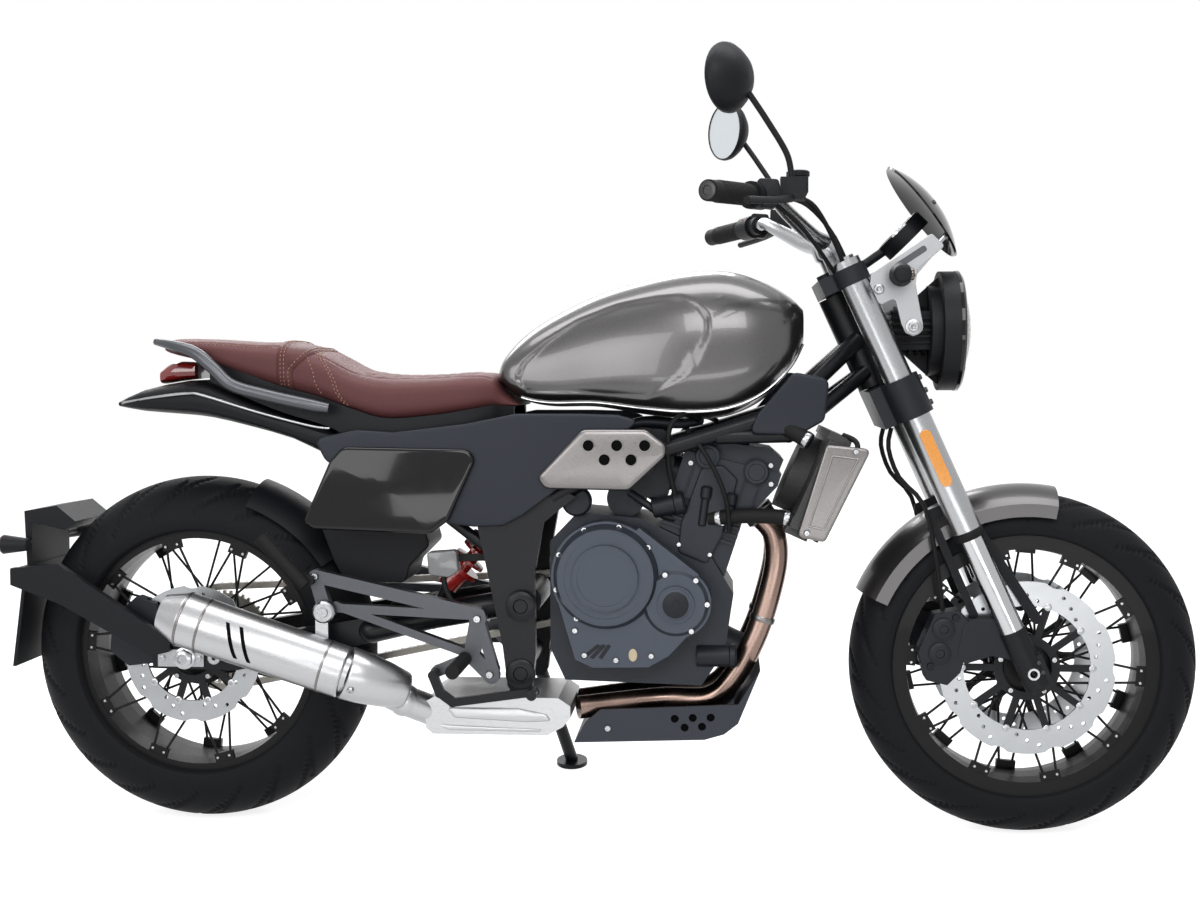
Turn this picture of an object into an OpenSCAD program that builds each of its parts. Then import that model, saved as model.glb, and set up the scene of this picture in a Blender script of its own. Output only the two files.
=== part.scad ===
// Roadster motorcycle with a parallel-twin engine, wire wheels and a stepped seat,
// parked on its side stand. Millimetres. Modelled upright with X forward from the rear
// axle, Y to the rider's left and Z up, then leaned over as one.

/* [Stance] */
// Distance between the axles
wheelbase = 1465; // [1400:1:1530]
// Lean to the left on the side stand, degrees
lean = 9; // [7:0.5:11]
// Angle of the steering head from upright, degrees
rake = 24.5; // [23:0.5:26]
// Fork legs ahead of the steering axis
fork_offset = 30; // [26:1:36]

/* [Wheels] */
// Front tyre outer radius
front_tyre_r = 300; // [292:1:304]
// Front tyre width
front_tyre_w = 120; // [110:1:124]
// Rear tyre outer radius
rear_tyre_r = 312; // [305:1:318]
// Rear tyre width
rear_tyre_w = 160; // [150:1:162]
// Front tyre wall, from the rim seat to the tread
front_wall = 84; // [80:1:88]
// Rear tyre wall, from the rim seat to the tread
rear_wall = 96; // [92:1:100]
// Front rim width between the flanges
front_rim_w = 88; // [80:1:92]
// Rear rim width between the flanges
rear_rim_w = 118; // [108:1:124]
// Spoke lugs on each side of a rim
lug_count = 10; // [8:1:12]
// Spoke thickness
spoke_d = 4.4; // [3.5:0.1:6]
// Axle thickness
axle_d = 20; // [18:0.5:22]
// Hollow of the front axle
axle_bore_d = 13; // [10:0.5:15]
// Free play round an axle or pivot
bearing_gap = 0.3; // [0.2:0.05:0.5]
// Front brake disc radius
front_disc_r = 150; // [140:1:152]
// Rear brake disc radius
rear_disc_r = 122; // [112:1:126]
// Brake disc thickness
disc_t = 5; // [4:0.5:6]
// Rear sprocket radius at the tooth tips
sprocket_r = 88; // [80:1:90]
// Depth of the drive chain
chain_h = 12; // [10:0.5:13]
// Width of the drive chain
chain_w = 14; // [12:0.5:15]

/* [Fork and bars] */
// Fork leg distance from the middle
fork_y = 102; // [98:1:106]
// Fork outer tube thickness
fork_tube_d = 50; // [46:1:52]
// Fork slider thickness
fork_slider_d = 41; // [38:0.5:43]
// Fork length from the axle to the top caps
fork_len = 768; // [740:1:790]
// Handlebar half width
bar_half = 400; // [380:1:420]
// Handlebar grip thickness
grip_d = 33; // [30:0.5:35]
// Mirror radius
mirror_r = 58; // [50:1:62]
// Headlamp rim radius
lamp_r = 104; // [95:1:106]

/* [Bodywork] */
// Widest half width of the fuel tank
tank_half = 148; // [138:1:152]
// Widest half width of the seat
seat_half = 128; // [118:1:132]
// Side panel thickness
panel_t = 14; // [8:1:14]
// Gap between neighbouring panels
panel_gap = 0.5; // [0.3:0.1:1]
// Front mudguard thickness
guard_t = 3; // [2:0.5:4]
// Room between a tyre and its mudguard
guard_gap = 12; // [9:0.5:15]

/* [Engine] */
// Forward tilt of the cylinders, degrees
bank = 18; // [16:0.5:20]
// Half width of the cylinders
cylinder_half = 97; // [88:1:97]
// Clutch housing radius
clutch_r = 94; // [86:1:96]
// Exhaust pipe thickness
pipe_d = 40; // [36:0.5:42]
// Silencer radius at the rear
silencer_r = 47; // [42:1:49]

/* [Hidden] */
$fn = 64;
crown_f = front_tyre_w / 2;
crown_r = rear_tyre_w / 2;
// Axle heights that set both leaned tyres on the floor
front_z = front_tyre_r + crown_f * (1 / cos(lean) - 1);
rear_z = rear_tyre_r + crown_r * (1 / cos(lean) - 1);
// How far the front end and the rear axle move when a wheel or the wheelbase is resized
front_shift = [wheelbase - 1465, 0, front_z - 300.748];
rear_shift = [0, 0, rear_z - 312.997];
front_bead_r = front_tyre_r - front_wall;
rear_bead_r = rear_tyre_r - rear_wall;
bobbin_at = [60, rear_z + 5];
// Growth of the rear tyre, which the pieces behind it give way to
back = rear_tyre_r - 312;
flange_h = 12;
flange_t = 6;
front_disc_y = 62;
rear_disc_y = 90;
chain_y = 92;
crank = [862, 420];
clutch_at = [743, 465];
pivot_at = [596, 412];
gear_at = [690, 402];
plate_in = 112;
plate_out = 133;
panel_y = 135;
cover_y = panel_y + panel_t + panel_gap;
hanger_y = plate_out + 0.6;
hanger_t = 20;
hanger_out = hanger_y + hanger_t;
// Side stand pivot, with its axis tipped up to the left, and its foot on the floor
stand_at = [590, 154, 261];
stand_tip = 19;
stand_foot = [645, 252, 252 * tan(lean)];
// Straight outer part of the handlebar, at a distance from the middle
function bar_at(y) = [998 - (y - 270) * 36 / 65, y, 1092 - (y - 270) * 3 / 65];
mirror_at = [951, 280, 1278];
// Ball that the flyscreen is cut from
screen_at = [1160, 0, 994];
screen_r = 188;
plate_tip_x = -334;
origin_x = (wheelbase + front_tyre_r + plate_tip_x) / 2;
origin_y = 168.4;

// Placing and drawing helpers
module parked() translate([-origin_x, -origin_y, 0]) rotate([-lean, 0, 0]) children();
module both_sides() {
    children();
    mirror([0, 1, 0]) children();
}
module right_side() mirror([0, 1, 0]) children();
// Flat outline in X and Z, made solid between two Y planes
module slab(y0, y1) translate([0, y1, 0]) rotate([90, 0, 0]) linear_extrude(y1 - y0) children();
module rod(a, b, d, d2 = undef) {
    v = b - a;
    len = norm(v);
    translate(a) rotate([0, acos(v.z / len), atan2(v.y, v.x)])
        cylinder(h = len, d1 = d, d2 = is_undef(d2) ? d : d2);
}
// Turned shape from point a towards b, through pairs of radius and distance
module turned(a, b, profile) {
    v = b - a;
    translate(a) rotate([0, acos(v.z / norm(v)), atan2(v.y, v.x)]) rotate_extrude() polygon(profile);
}
module strip(a, b, w) {
    v = b - a;
    translate(a) rotate(atan2(v.y, v.x)) translate([0, -w / 2]) square([norm(v), w]);
    translate(a) circle(d = w + 0.8);
    translate(b) circle(d = w + 0.8);
}
module at_front_axle() translate([wheelbase, 0, front_z]) children();
module front_end() translate(front_shift) children();
module at_rear_axle() translate([0, 0, rear_z]) children();
// Fork frame: Z up the fork leg from the axle, X ahead of it
module in_fork() at_front_axle() rotate([0, -rake, 0]) children();
// Cylinder frame: Z up the cylinders from the crankshaft
module in_bank() translate([crank.x, 0, crank.y]) rotate([0, bank, 0]) children();
// Solid of revolution round the Y axis
module wheel_turn(angle = 360) rotate([90, 0, 0]) rotate_extrude(angle = angle, $fn = 120) children();

function unit(v) = v / norm(v);
// Smooth rows between the rows of a table, every column at once
function spline(rows, k) = [
    for (i = [0 : len(rows) - 2], s = [0 : k - 1])
        let (t = s / k, a = rows[max(i - 1, 0)], b = rows[i], c = rows[i + 1],
            d = rows[min(i + 2, len(rows) - 1)])
        0.5 * (2 * b + (c - a) * t + (2 * a - 5 * b + 4 * c - d) * t * t
            + (3 * b - a - 3 * c + d) * t * t * t),
    rows[len(rows) - 1]];
// Closed solid through rings of points
module skin(rings) {
    n = len(rings[0]);
    m = len(rings);
    polyhedron(
        points = [for (r = rings) each r],
        faces = concat(
            [[for (i = [0 : n - 1]) i]],
            [for (j = [0 : m - 2], i = [0 : n - 1])
                [j * n + i, (j + 1) * n + i, (j + 1) * n + (i + 1) % n]],
            [for (j = [0 : m - 2], i = [0 : n - 1])
                [j * n + i, (j + 1) * n + (i + 1) % n, j * n + (i + 1) % n]],
            [[for (i = [n - 1 : -1 : 0]) (m - 1) * n + i]]));
}
// Bent round bar through rows of x, y, z, diameter
module tube(rows, k = 4, ref = [0, 1, 0], sides = 14) {
    p = spline(rows, k);
    last = len(p) - 1;
    skin([for (i = [0 : last])
        let (q = p[i], a = p[max(i - 1, 0)], b = p[min(i + 1, last)],
            t = unit([b[0] - a[0], b[1] - a[1], b[2] - a[2]]),
            e = unit(cross(ref, t)), f = cross(t, e))
        [for (s = [0 : sides - 1])
            [q[0], q[1], q[2]] + q[3] / 2 * (cos(360 * s / sides) * e + sin(360 * s / sides) * f)]]);
}
function bent(c, p) = sign(c) * pow(abs(c), p);
// Rounded body through rows of x, bottom z, widest z, top z, half width
module body(rows, k, square, sides) {
    skin([for (r = spline(rows, k)) [for (s = [0 : sides - 1])
        let (c = cos(360 * s / sides), w = sin(360 * s / sides))
        [r[0], r[4] * bent(c, square), r[2] + bent(w, square) * (w > 0 ? r[3] - r[2] : r[2] - r[1])]]]);
}

// Wheels
module tyre(r, w, rim_w, bead_r) wheel_turn() {
    difference() {
        translate([r - w / 2, 0]) circle(d = w, $fn = 96);
        translate([0, -w]) square([bead_r + flange_h + 1.5, 2 * w]);
    }
    translate([bead_r, -rim_w / 2 + 0.3]) square([flange_h + 3, rim_w - 0.6]);
}
module rim(rim_w, hub_half, flange_r, barrel_r, bead_r) {
    half = rim_w / 2;
    step = 360 / lug_count;
    wheel_turn() polygon([[bead_r, -half], [bead_r, half], [bead_r + flange_h, half],
        [bead_r + flange_h, half + flange_t], [bead_r - 12, half + flange_t],
        [bead_r - 15, half * 0.45], [bead_r - 15, -half * 0.45], [bead_r - 12, -half - flange_t],
        [bead_r + flange_h, -half - flange_t], [bead_r + flange_h, -half]]);
    // Hub with a flange at each side, open for the axle
    wheel_turn() difference() {
        union() {
            translate([0, -hub_half - 14]) square([barrel_r, 2 * hub_half + 28]);
            for (s = [-1, 1]) translate([0, s * hub_half - 8]) square([flange_r, 16]);
        }
        translate([0, -200]) square([axle_d / 2 + bearing_gap, 400]);
    }
    for (s = [-1, 1], i = [0 : lug_count - 1]) {
        a = (i + (s + 1) / 4 + 0.13) * step;
        rotate([0, a, 0]) translate([bead_r - 28, s * (half + flange_t - 6) - 5, -17]) cube([20, 10, 34]);
        for (c = [-1, 1]) {
            b = a + c * 3.2;
            h = a + c * 44;
            lug_y = s * (half + 1);
            hub_y = s * (hub_half + c * 3.6);
            rod([(bead_r - 20) * cos(b), lug_y, -(bead_r - 20) * sin(b)],
                [(flange_r - 7) * cos(h), hub_y, -(flange_r - 7) * sin(h)], spoke_d, $fn = 24);
        }
    }
}
// Wavy brake disc ring on a spider, flat in X and Z
module disc_outline(r, r_in, r_hub, waves) {
    difference() {
        circle(r = r, $fn = 120);
        circle(r = r_in, $fn = 96);
        for (i = [0 : waves - 1]) rotate(360 / waves * i) translate([r + 22, 0]) circle(r = 27);
        for (i = [0 : waves - 1], k = [0 : 2]) rotate(360 / waves * (i + 0.28 + k * 0.24))
            translate([r_in + (r - r_in) * (0.22 + k * 0.22), 0]) circle(r = 3.4, $fn = 20);
    }
    for (i = [0 : 9]) rotate(36 * i) translate([r_hub - 6, -6]) square([r_in - r_hub + 10, 12]);
    difference() {
        circle(r = r_hub, $fn = 96);
        circle(r = r_hub - 14, $fn = 96);
    }
}

module front_tyre() color("#1c1c1d") at_front_axle()
    tyre(front_tyre_r, front_tyre_w, front_rim_w, front_bead_r);
module front_rim() color("#202022") at_front_axle() rim(front_rim_w, 30, 50, 36, front_bead_r);
module front_discs() color("#8d8f92") at_front_axle()
    both_sides() slab(front_disc_y - disc_t / 2, front_disc_y + disc_t / 2)
        disc_outline(front_disc_r, 108, 56, 10);
module rear_tyre() color("#1c1c1d") at_rear_axle()
    tyre(rear_tyre_r, rear_tyre_w, rear_rim_w, rear_bead_r);
module rear_rim() color("#202022") at_rear_axle() rim(rear_rim_w, 44, 62, 46, rear_bead_r);
module rear_disc() color("#8d8f92") at_rear_axle()
    slab(-rear_disc_y - disc_t / 2, -rear_disc_y + disc_t / 2) disc_outline(rear_disc_r, 84, 52, 8);
module rear_sprocket() color("#9a958c") at_rear_axle() slab(chain_y - 4, chain_y + 4) {
    difference() {
        circle(r = sprocket_r - 5, $fn = 120);
        circle(r = sprocket_r - 24, $fn = 96);
    }
    for (i = [0 : 43]) rotate(360 / 44 * i) translate([sprocket_r - 7, -2.6]) square([7, 5.2]);
    for (i = [0 : 4]) rotate(72 * i) translate([34, -11]) square([sprocket_r - 56, 22]);
    difference() {
        circle(r = 44);
        circle(r = 30);
    }
}
module rear_axle() color("#b9babc") at_rear_axle() {
    rod([0, -138, 0], [0, 138, 0], axle_d);
    for (s = [-1, 1]) rod([0, s * 131, 0], [0, s * 145, 0], 34, $fn = 6);
}
module front_axle() color("#b9babc") at_front_axle() difference() {
    rod([0, -124, 0], [0, 124, 0], axle_d);
    rod([0, -140, 0], [0, 140, 0], axle_bore_d);
}

// Drive chain, one loop of links round both sprockets
module chain() color("#6f6a61") {
    r2 = sprocket_r + 2;
    r1 = 34;
    p2 = [0, rear_z];
    p1 = gear_at;
    d = norm(p1 - p2);
    tilt = atan2(p1.y - p2.y, p1.x - p2.x);
    open = acos((r2 - r1) / d);
    slab(chain_y - chain_w / 2, chain_y + chain_w / 2) difference() {
        loop_outline(p1, p2, r1 + chain_h, r2 + chain_h, tilt, open);
        loop_outline(p1, p2, r1, r2, tilt, open);
    }
}
// Belt outline round two circles, with the tangent points at an angle either side of the line between
module loop_outline(p1, p2, r1, r2, tilt, open) {
    translate(p2) circle(r = r2, $fn = 120);
    translate(p1) circle(r = r1);
    up = [cos(tilt + open), sin(tilt + open)];
    down = [cos(tilt - open), sin(tilt - open)];
    polygon([p2 + r2 * up, p1 + r1 * up, p1 + r1 * down, p2 + r2 * down]);
}

// Frame, with the head tube, spars, pivot plates and seat rails
module main_frame() color("#242527") difference() {
    union() {
        in_fork() translate([-fork_offset, 0, 551]) cylinder(d = 62, h = 172);
        spar = [[1176, 26, 868] + front_shift, [1040, 116, 742], [760, 118, 655], [648, 121, 598]];
        strut = [[1190, 24, 812] + front_shift, [1052, 116, 705], [930, 118, 702]];
        rail = [[600, 95, 606], [420, 95, 668], [271, 95, 712]];
        brace = [[545, 112, 500], [300, 96, 686]];
        both_sides() {
            for (i = [0 : 2]) rod(spar[i], spar[i + 1], 30);
            for (i = [1 : 2]) translate(spar[i]) sphere(d = 31);
            for (i = [0 : 1]) rod(strut[i], strut[i + 1], 26);
            translate(strut[1]) sphere(d = 27);
            for (i = [0 : 1]) rod(rail[i], rail[i + 1], 24);
            translate(rail[1]) sphere(d = 25);
            rod(brace[0], brace[1], 20);
            slab(plate_in, plate_out) difference() {
                polygon([[520, 548], [542, 444], [563, 339], [571, 272], [580, 256], [612, 256], [620, 327],
                    [618, 466], [634, 554], [690, 600], [640, 622], [584, 604], [474, 560]]);
                translate(pivot_at) circle(d = 24 + 2 * bearing_gap);
            }
        }
        // Lug under the left plate for the side stand
        slab(plate_in + 1, plate_out - 1)
            polygon([[570.5, 290], [572, 256], [580, 242], [606, 242], [614, 256], [618, 290]]);
        for (p = [[590, 296, 30], [640, 592, 30], [600, 606, 20]])
            rod([p[0], -plate_in - 2, p[1]], [p[0], plate_in + 2, p[1]], p[2]);
        // Pin and head that carry the side stand
        translate(stand_at) rotate([stand_tip - 90, 0, 0]) {
            translate([0, 0, -32]) cylinder(d = 12, h = 48);
            translate([0, 0, 11.6]) cylinder(d = 22, h = 5);
        }
    }
    in_fork() translate([-fork_offset, 0, 500]) cylinder(d = 34 + 2 * bearing_gap, h = 300);
}
module airbox() color("#1d1e20") slab(-80, 80)
    polygon([[300, 708], [330, 650], [420, 622], [690, 622], [720, 650], [720, 706], [420, 712]]);

// Engine
module crankcase() color("#2b2c2e") {
    slab(-100, 78) polygon([[642, 332], [668, 277], [905, 270], [945, 330], [960, 430], [915, 505],
        [800, 560], [690, 570], [642, 520]]);
    // Oil filter low at the front
    rod([935, 0, 330], [985, 0, 306], 66);
    // Starter behind the cylinders
    rod([772, -70, 592], [772, 60, 592], 66);
}
module engine_covers() color("#3a3b3d") {
    // Clutch side
    right_side() {
        slab(101, 150) difference() {
            union() {
                translate(clutch_at) circle(r = clutch_r);
                translate(crank) circle(r = 60);
                polygon([[655, 440], [690, 322], [720, 308], [815, 310], [850, 330], [915, 400], [900, 470],
                    [800, 548]]);
            }
            translate([640, 270]) square([30, 60]);
        }
        translate([clutch_at.x, 150, clutch_at.y]) rotate([-90, 0, 0]) {
            cylinder(r1 = clutch_r - 4, r2 = clutch_r - 12, h = 20);
            translate([0, 0, 20]) cylinder(r = 56, h = 10);
        }
        translate([crank.x, 150, crank.y]) rotate([-90, 0, 0]) {
            cylinder(r1 = 56, r2 = 50, h = 8);
            translate([0, 0, 8]) cylinder(r = 31, h = 7);
        }
    }
    // Alternator side, with the sprocket cover behind it
    slab(79, 112) translate(crank) circle(r = 84);
    translate([crank.x, 112, crank.y]) rotate([-90, 0, 0]) {
        cylinder(r1 = 82, r2 = 66, h = 30);
        translate([0, 0, 30]) cylinder(r = 30, h = 6);
    }
    slab(103, 111) polygon([[645, 350], [700, 336], [790, 360], [790, 470], [660, 460]]);
}
module cylinder_head() color("#2a2a2c") in_bank() {
    // Block with cooling ribs, then head and cam cover
    slab(-cylinder_half + 6, cylinder_half - 6) polygon([[-66, 110], [24, 98], [66, 62], [66, 172],
        [-66, 172]]);
    for (z = [118 : 14 : 160]) translate([-66, -cylinder_half, z]) cube([132, 2 * cylinder_half, 5]);
    slab(-cylinder_half, cylinder_half) polygon([[-66, 172], [72, 172], [104, 240], [104, 262], [-66, 250]]);
    slab(-cylinder_half + 8, cylinder_half - 8)
        polygon([[-60, 248], [98, 258], [100, 286], [76, 296], [-60, 276]]);
    for (x = [-26, 62]) rod([x, -cylinder_half - 5, 252], [x, cylinder_half + 5, 252], 44);
    // Spark plug towers
    for (y = [-48, 48]) translate([18, y, 282]) cylinder(d = 40, h = 16);
}
module radiator() color("#19191a") translate([1112, 0, 612]) rotate([0, 24, 0]) {
    translate([-30, -168, -78]) cube([34, 336, 160]);
    translate([-34, -160, 82]) cube([40, 320, 14]);
    translate([-34, -160, -90]) cube([40, 320, 12]);
    translate([-62, 0, 4]) rotate([0, 90, 0]) cylinder(d = 140, h = 32);
    // Core fins
    for (z = [-70 : 14 : 70]) translate([4, -160, z]) cube([2.5, 320, 5]);
}
module cover_plates() color("#a7a9ab") both_sides() {
    // Radiator side cover
    slab(168.4, 188) polygon([[1064, 538], [1110, 529], [1186, 684], [1112, 692]]);
    // Intake cover with five holes
    slab(cover_y, cover_y + 18) difference() {
        polygon([[704, 716], [812, 716], [846, 690], [846, 672], [782, 612], [640, 615], [626, 634]]);
        for (h = [[715, 689], [763, 689], [810, 689], [742, 665], [787, 665]])
            translate(h) circle(r = 9, $fn = 32);
    }
}

// Exhaust
module exhaust_headers() color("#8a6f58") for (s = [-1, 1])
    tube([[1006, s * 50, 560, pipe_d], [1030, s * 52, 530, pipe_d], [1034, s * 54, 478, pipe_d],
        [1016, s * 56, 400, pipe_d], [992, s * 58, 335, pipe_d], [958, s * 56, 274, pipe_d],
        [915, s * 50, 238, pipe_d], [830, s * 44, 234, pipe_d], [690, -58 + s * 34, 227, pipe_d]]);
module silencer() color("#b4b1ac") {
    // Collector box under the swingarm
    slab(-146, 30) polygon([[430, 200], [442, 189], [640, 189], [668, 204], [681, 220], [681, 240],
        [660, 254], [446, 254], [430, 246]]);
    // Link pipe, can, end cone and hanging tab
    link = [[440, -118, 222], [392, -140, 246], [345, -172, 279], [296, -193, 306]];
    for (i = [0 : 2]) rod(link[i], link[i + 1], 52 + i);
    for (i = [1 : 2]) translate(link[i]) sphere(d = 56 + i);
    turned([308, -191, 300], [-14, -201, 406] + rear_shift, [[0, 0], [33, 0], [39, 30], [silencer_r, 300], [30, 339],
        [0, 339]]);
    slab(-170, -162) {
        translate([244, 322]) square([22, 72]);
        translate([255, 394]) circle(d = 23);
    }
}

// Bodywork
module fuel_tank() color("#6c6660") body([
    // x, bottom, widest, top, half width
    [548, 800, 806, 816, 60], [560, 786, 806, 842, 92], [590, 763, 802, 876, 104], [640, 752, 800, 910, 112],
    [720, 751, 806, 948, 122], [800, 738, 814, 972, tank_half - 10], [880, 729, 822, 987, tank_half],
    [950, 735, 830, 988, tank_half], [1010, 763, 842, 970, tank_half - 12], [1056, 812, 866, 944, 108],
    [1080, 858, 888, 922, 64]], 3, 0.72, 40);
module seat() color("#5a3a2a") body([
    // x, bottom, widest, top, half width
    [-46, 850, 856, 866, 78], [-30, 844, 856, 874, 92], [40, 826, 848, 873, 106], [120, 795, 832, 868, 114],
    [180, 775, 820, 866, 118], [240, 759, 804, 848, 121], [300, 738, 778, 818, seat_half - 4],
    [360, 722, 766, 808, seat_half], [440, 727, 770, 808, seat_half], [505, 737, 776, 812, 122],
    [540, 744, 778, 808, 112], [560, 749, 762, 780, 100], [586, 754, 756, 759, 90]], 3, 0.62, 36);
module grab_rails() color("#7d7d7f") both_sides()
    tube([[-58, 90, 868, 12], [-20, 113, 861, 18], [24, 127, 848, 22], [58, 133, 822, 22], [92, 135, 792, 22],
        [150, 137, 775, 22], [226, 137, 758, 22], [262, 134, 751, 18]], ref = [0, 1, 0], k = 3);
module tail_cowl() color("#232427") {
    body([
        // x, bottom, widest, top, half width
        [-136, 752, 758, 763, 70], [-90, 744, 762, 784, 96], [-12, 738, 764, 800, 112],
        [40, 732, 762, 796, 120],
        [110, 716, 744, 764, 125], [190, 694, 718, 736, 126], [250, 664, 700, 716, 124],
        [268, 668, 690, 708, 120]],
        2, 0.6, 28);
    // Inner mudguard ahead of the rear tyre
    at_rear_axle() rotate([0, -34, 0]) wheel_turn(36) difference() {
        translate([rear_tyre_r - crown_r, 0]) difference() {
            circle(r = crown_r + 14);
            circle(r = crown_r + 11);
        }
        translate([0, -200]) square([280, 400]);
    }
}
module tail_lamp() color("#8e1a16") body([
    // x, bottom, widest, top, half width
    [-66, 793.5, 806, 818, 52], [-40, 798, 816, 834, 58], [0, 803, 816, 832, 58]], 3, 0.5, 20);
module side_panels() color("#3c3d40") both_sides() {
    slab(panel_y, panel_y + panel_t)
        polygon([[238, 700], [313, 714], [376, 710], [498, 724], [590, 742], [700, 742],
        [764, 740], [800, 730], [700, 645], [645, 601], [599, 567], [566, 550], [515, 548], [469, 554], [258, 661]]);
    // Duct panel beside the steering head
    slab(134, 142) polygon([[1000, 742], [1060, 812], [1120, 800], [1112, 730], [1070, 706], [985, 708]]);
}
module number_panels() color("#0d0d0e") both_sides() slab(cover_y, cover_y + 16)
    polygon([[292, 686], [508, 682], [521, 664], [474, 560], [444, 537], [238, 544], [221, 556], [269, 661]]);

// Rear suspension
module swingarm() color("#1f2022") {
    difference() {
        union() {
            rod([pivot_at.x, -82, pivot_at.y], [pivot_at.x, 82, pivot_at.y], 56);
            rod([pivot_at.x, -111, pivot_at.y], [pivot_at.x, 111, pivot_at.y], 34);
            rod([pivot_at.x, -142, pivot_at.y], [pivot_at.x, 142, pivot_at.y], 24);
            for (s = [-1, 1]) {
                rod([pivot_at.x, s * 139, pivot_at.y], [pivot_at.x, s * 145, pivot_at.y], 52);
                // Arm, out past the tyre and back to the axle
                rod([590, s * 60, 410], [430, s * 84, 384], 46);
                translate([430, s * 84, 384]) sphere(d = 47);
                rod([430, s * 84, 384], [330, s * 118, 364], 46);
                translate([330, s * 118, 364]) sphere(d = 46.6);
                slab(s > 0 ? 106 : -130, s > 0 ? 130 : -106)
                    polygon([[330, 388], [326, 342], [92, rear_z - 21], [-58, rear_z - 19],
                        [-62, rear_z + 17], [92, rear_z + 33]]);
            }
            rod([425, -84, 384], [425, 84, 384], 44);
            rod([425, 0, 384], [441.8, 0, 423.8], 20);
        }
        at_rear_axle() rod([0, -160, 0], [0, 160, 0], axle_d + 0.2);
    }
}
// Threaded bosses on the swingarm ends for a paddock stand
module stand_bobbins() color("#8f9092") both_sides() difference() {
    rod([bobbin_at.x, 130.2, bobbin_at.y], [bobbin_at.x, 156.2, bobbin_at.y], 22);
    rod([bobbin_at.x, 120, bobbin_at.y], [bobbin_at.x, 170, bobbin_at.y], 8);
}
module shock_absorber() color("#7c1d1a") {
    lower = [444.4, 0, 427];
    upper = [593, 0, 598];
    len = norm(upper - lower);
    // Eye, spring seats and coils round the damper rod
    turned(lower, upper, concat([[0, 0], [20, 0], [20, 0.16 * len], [33, 0.16 * len], [33, 0.2 * len], [12, 0.2 * len]],
        [for (i = [0 : 5]) each [[12, (0.25 + 0.1 * i) * len], [30, (0.26 + 0.1 * i) * len],
            [30, (0.285 + 0.1 * i) * len], [12, (0.295 + 0.1 * i) * len]]],
        [[12, 0.82 * len], [33, 0.82 * len], [33, 0.9 * len], [12, 0.9 * len], [12, len], [0, len]]));
}
module plate_bracket() color("#1b1b1c") translate(rear_shift) {
    // Arm from the right end of the swingarm, out behind the tyre
    slab(-146, -131.5) polygon([[-20, 346], [-220 - back, 478 + back / 2], [-307 - back, 471 + back / 2],
        [-307 - back, 441 + back / 2], [-218 - back, 408 + back / 2], [-56, 318], [-24, 326]]);
    translate([-back, 0, back / 2]) {
        slab(-145.4, 70) polygon([[-308, 469], [-295, 470.5], [-295, 440], [-308, 441.5]]);
        // Hugger over the back of the tyre
        slab(-80, 80) polygon([[-216, 548], [-250, 576], [-310, 566], [-306.5, 462], [-296.5, 462], [-296.5, 546],
            [-236, 532]]);
        // Bare plate on its back
        slab(-92, 92) polygon([[-303.5, 447], [-309.6, 447], [-331.6, 287], [-325.6, 287]]);
        // Indicators on short stalks
        for (s = [-1, 1]) {
            rod([-302, s * 79, 512], [-302, s * 130, 512], 12);
            rod([-322, s * 136, 512], [-278, s * 136, 512], 34, 22);
        }
    }
}
module rear_caliper() color("#4a4744") difference() {
    at_rear_axle() slab(-105, -76) polygon([[-62, -14], [-52, 40], [-60, 92], [-96, 104], [-140, 66], [-146, 6], [-112, -20]]);
    at_rear_axle() slab(-rear_disc_y - 7.5, -rear_disc_y + 7.5) circle(r = rear_disc_r + 6);
}

// Rider's footrests and levers
module footpeg_hangers() color("#6f706f") both_sides() slab(hanger_y, hanger_out) difference() {
    union() {
        // from, to, width
        for (t = [[[240, 462], [524, 398], 22], [[262, 408], [520, 396], 15], [[240, 460], [258, 397], 23],
            [[276, 411], [512, 328], 14], [[523, 393], [511, 325], 27], [[512, 326], [546, 292], 26],
            [[524, 390], [550, 302], 17], [[512, 324], [450, 298], 19]]) strip(t[0], t[1], t[2]);
    }
    for (p = [[522, 391], [543, 295], [256, 400]]) translate(p) circle(d = 9, $fn = 32);
}
module footpegs() color("#2e2e2f") both_sides() {
    rod([500, hanger_out + 0.9, 322], [497, 262, 319], 24);
    rod([226, hanger_out + 15, 448], [150, hanger_out + 19, 532], 26);
    rod([232, hanger_out + 0.3, 456], [232, hanger_out + 16, 456], 18);
}
module foot_levers() color("#3a3a3b") {
    right_side() {
        slab(176, 186) {
            strip([450, 298], [462, 268], 16);
            strip([462, 268], [484, 252], 15);
            strip([484, 252], [625, 272], 14);
        }
        rod([622, 177, 272], [622, 214, 272], 18);
        rod([450, hanger_out + 0.3, 298], [450, 188, 298], 15);
    }
    slab(176, 186) strip([450, 298], [618, 300], 13);
    rod([616, 177, 300], [616, 226, 300], 18);
    rod([450, hanger_out + 0.3, 298], [450, 188, 298], 15);
}
module skid_plate() color("#3b3b3d") difference() {
    slab(-114, 114) polygon([[684, 170], [910, 178], [944, 188], [968, 207], [1006, 300], [968, 240], [730, 228], [704, 206]]);
    slab(-108, 108) polygon([[670, 176], [908, 184], [938, 193], [962, 211], [1010, 322], [960, 330], [690, 330], [660, 220]]);
    for (h = [[859, 214], [890, 216], [921, 217], [876, 199], [906, 201]])
        slab(-130, 130) translate(h) circle(r = 7, $fn = 32);
}
module side_stand() color("#2c2c2d") difference() {
    union() {
        translate(stand_at) rotate([stand_tip - 90, 0, 0]) translate([0, 0, -11]) cylinder(d = 36, h = 22);
        rod(stand_at, stand_foot + 7.5 * [0, -sin(lean), cos(lean)], 24);
        rod(stand_foot, stand_foot + 8 * [0, -sin(lean), cos(lean)], 60);
    }
    translate(stand_at) rotate([stand_tip - 90, 0, 0]) {
        translate([0, 0, -40]) cylinder(d = 12 + 2 * bearing_gap, h = 80);
        translate([0, 0, 11]) cylinder(d = 40, h = 30);
        translate([0, 0, -41]) cylinder(d = 40, h = 30);
    }
}

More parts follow.
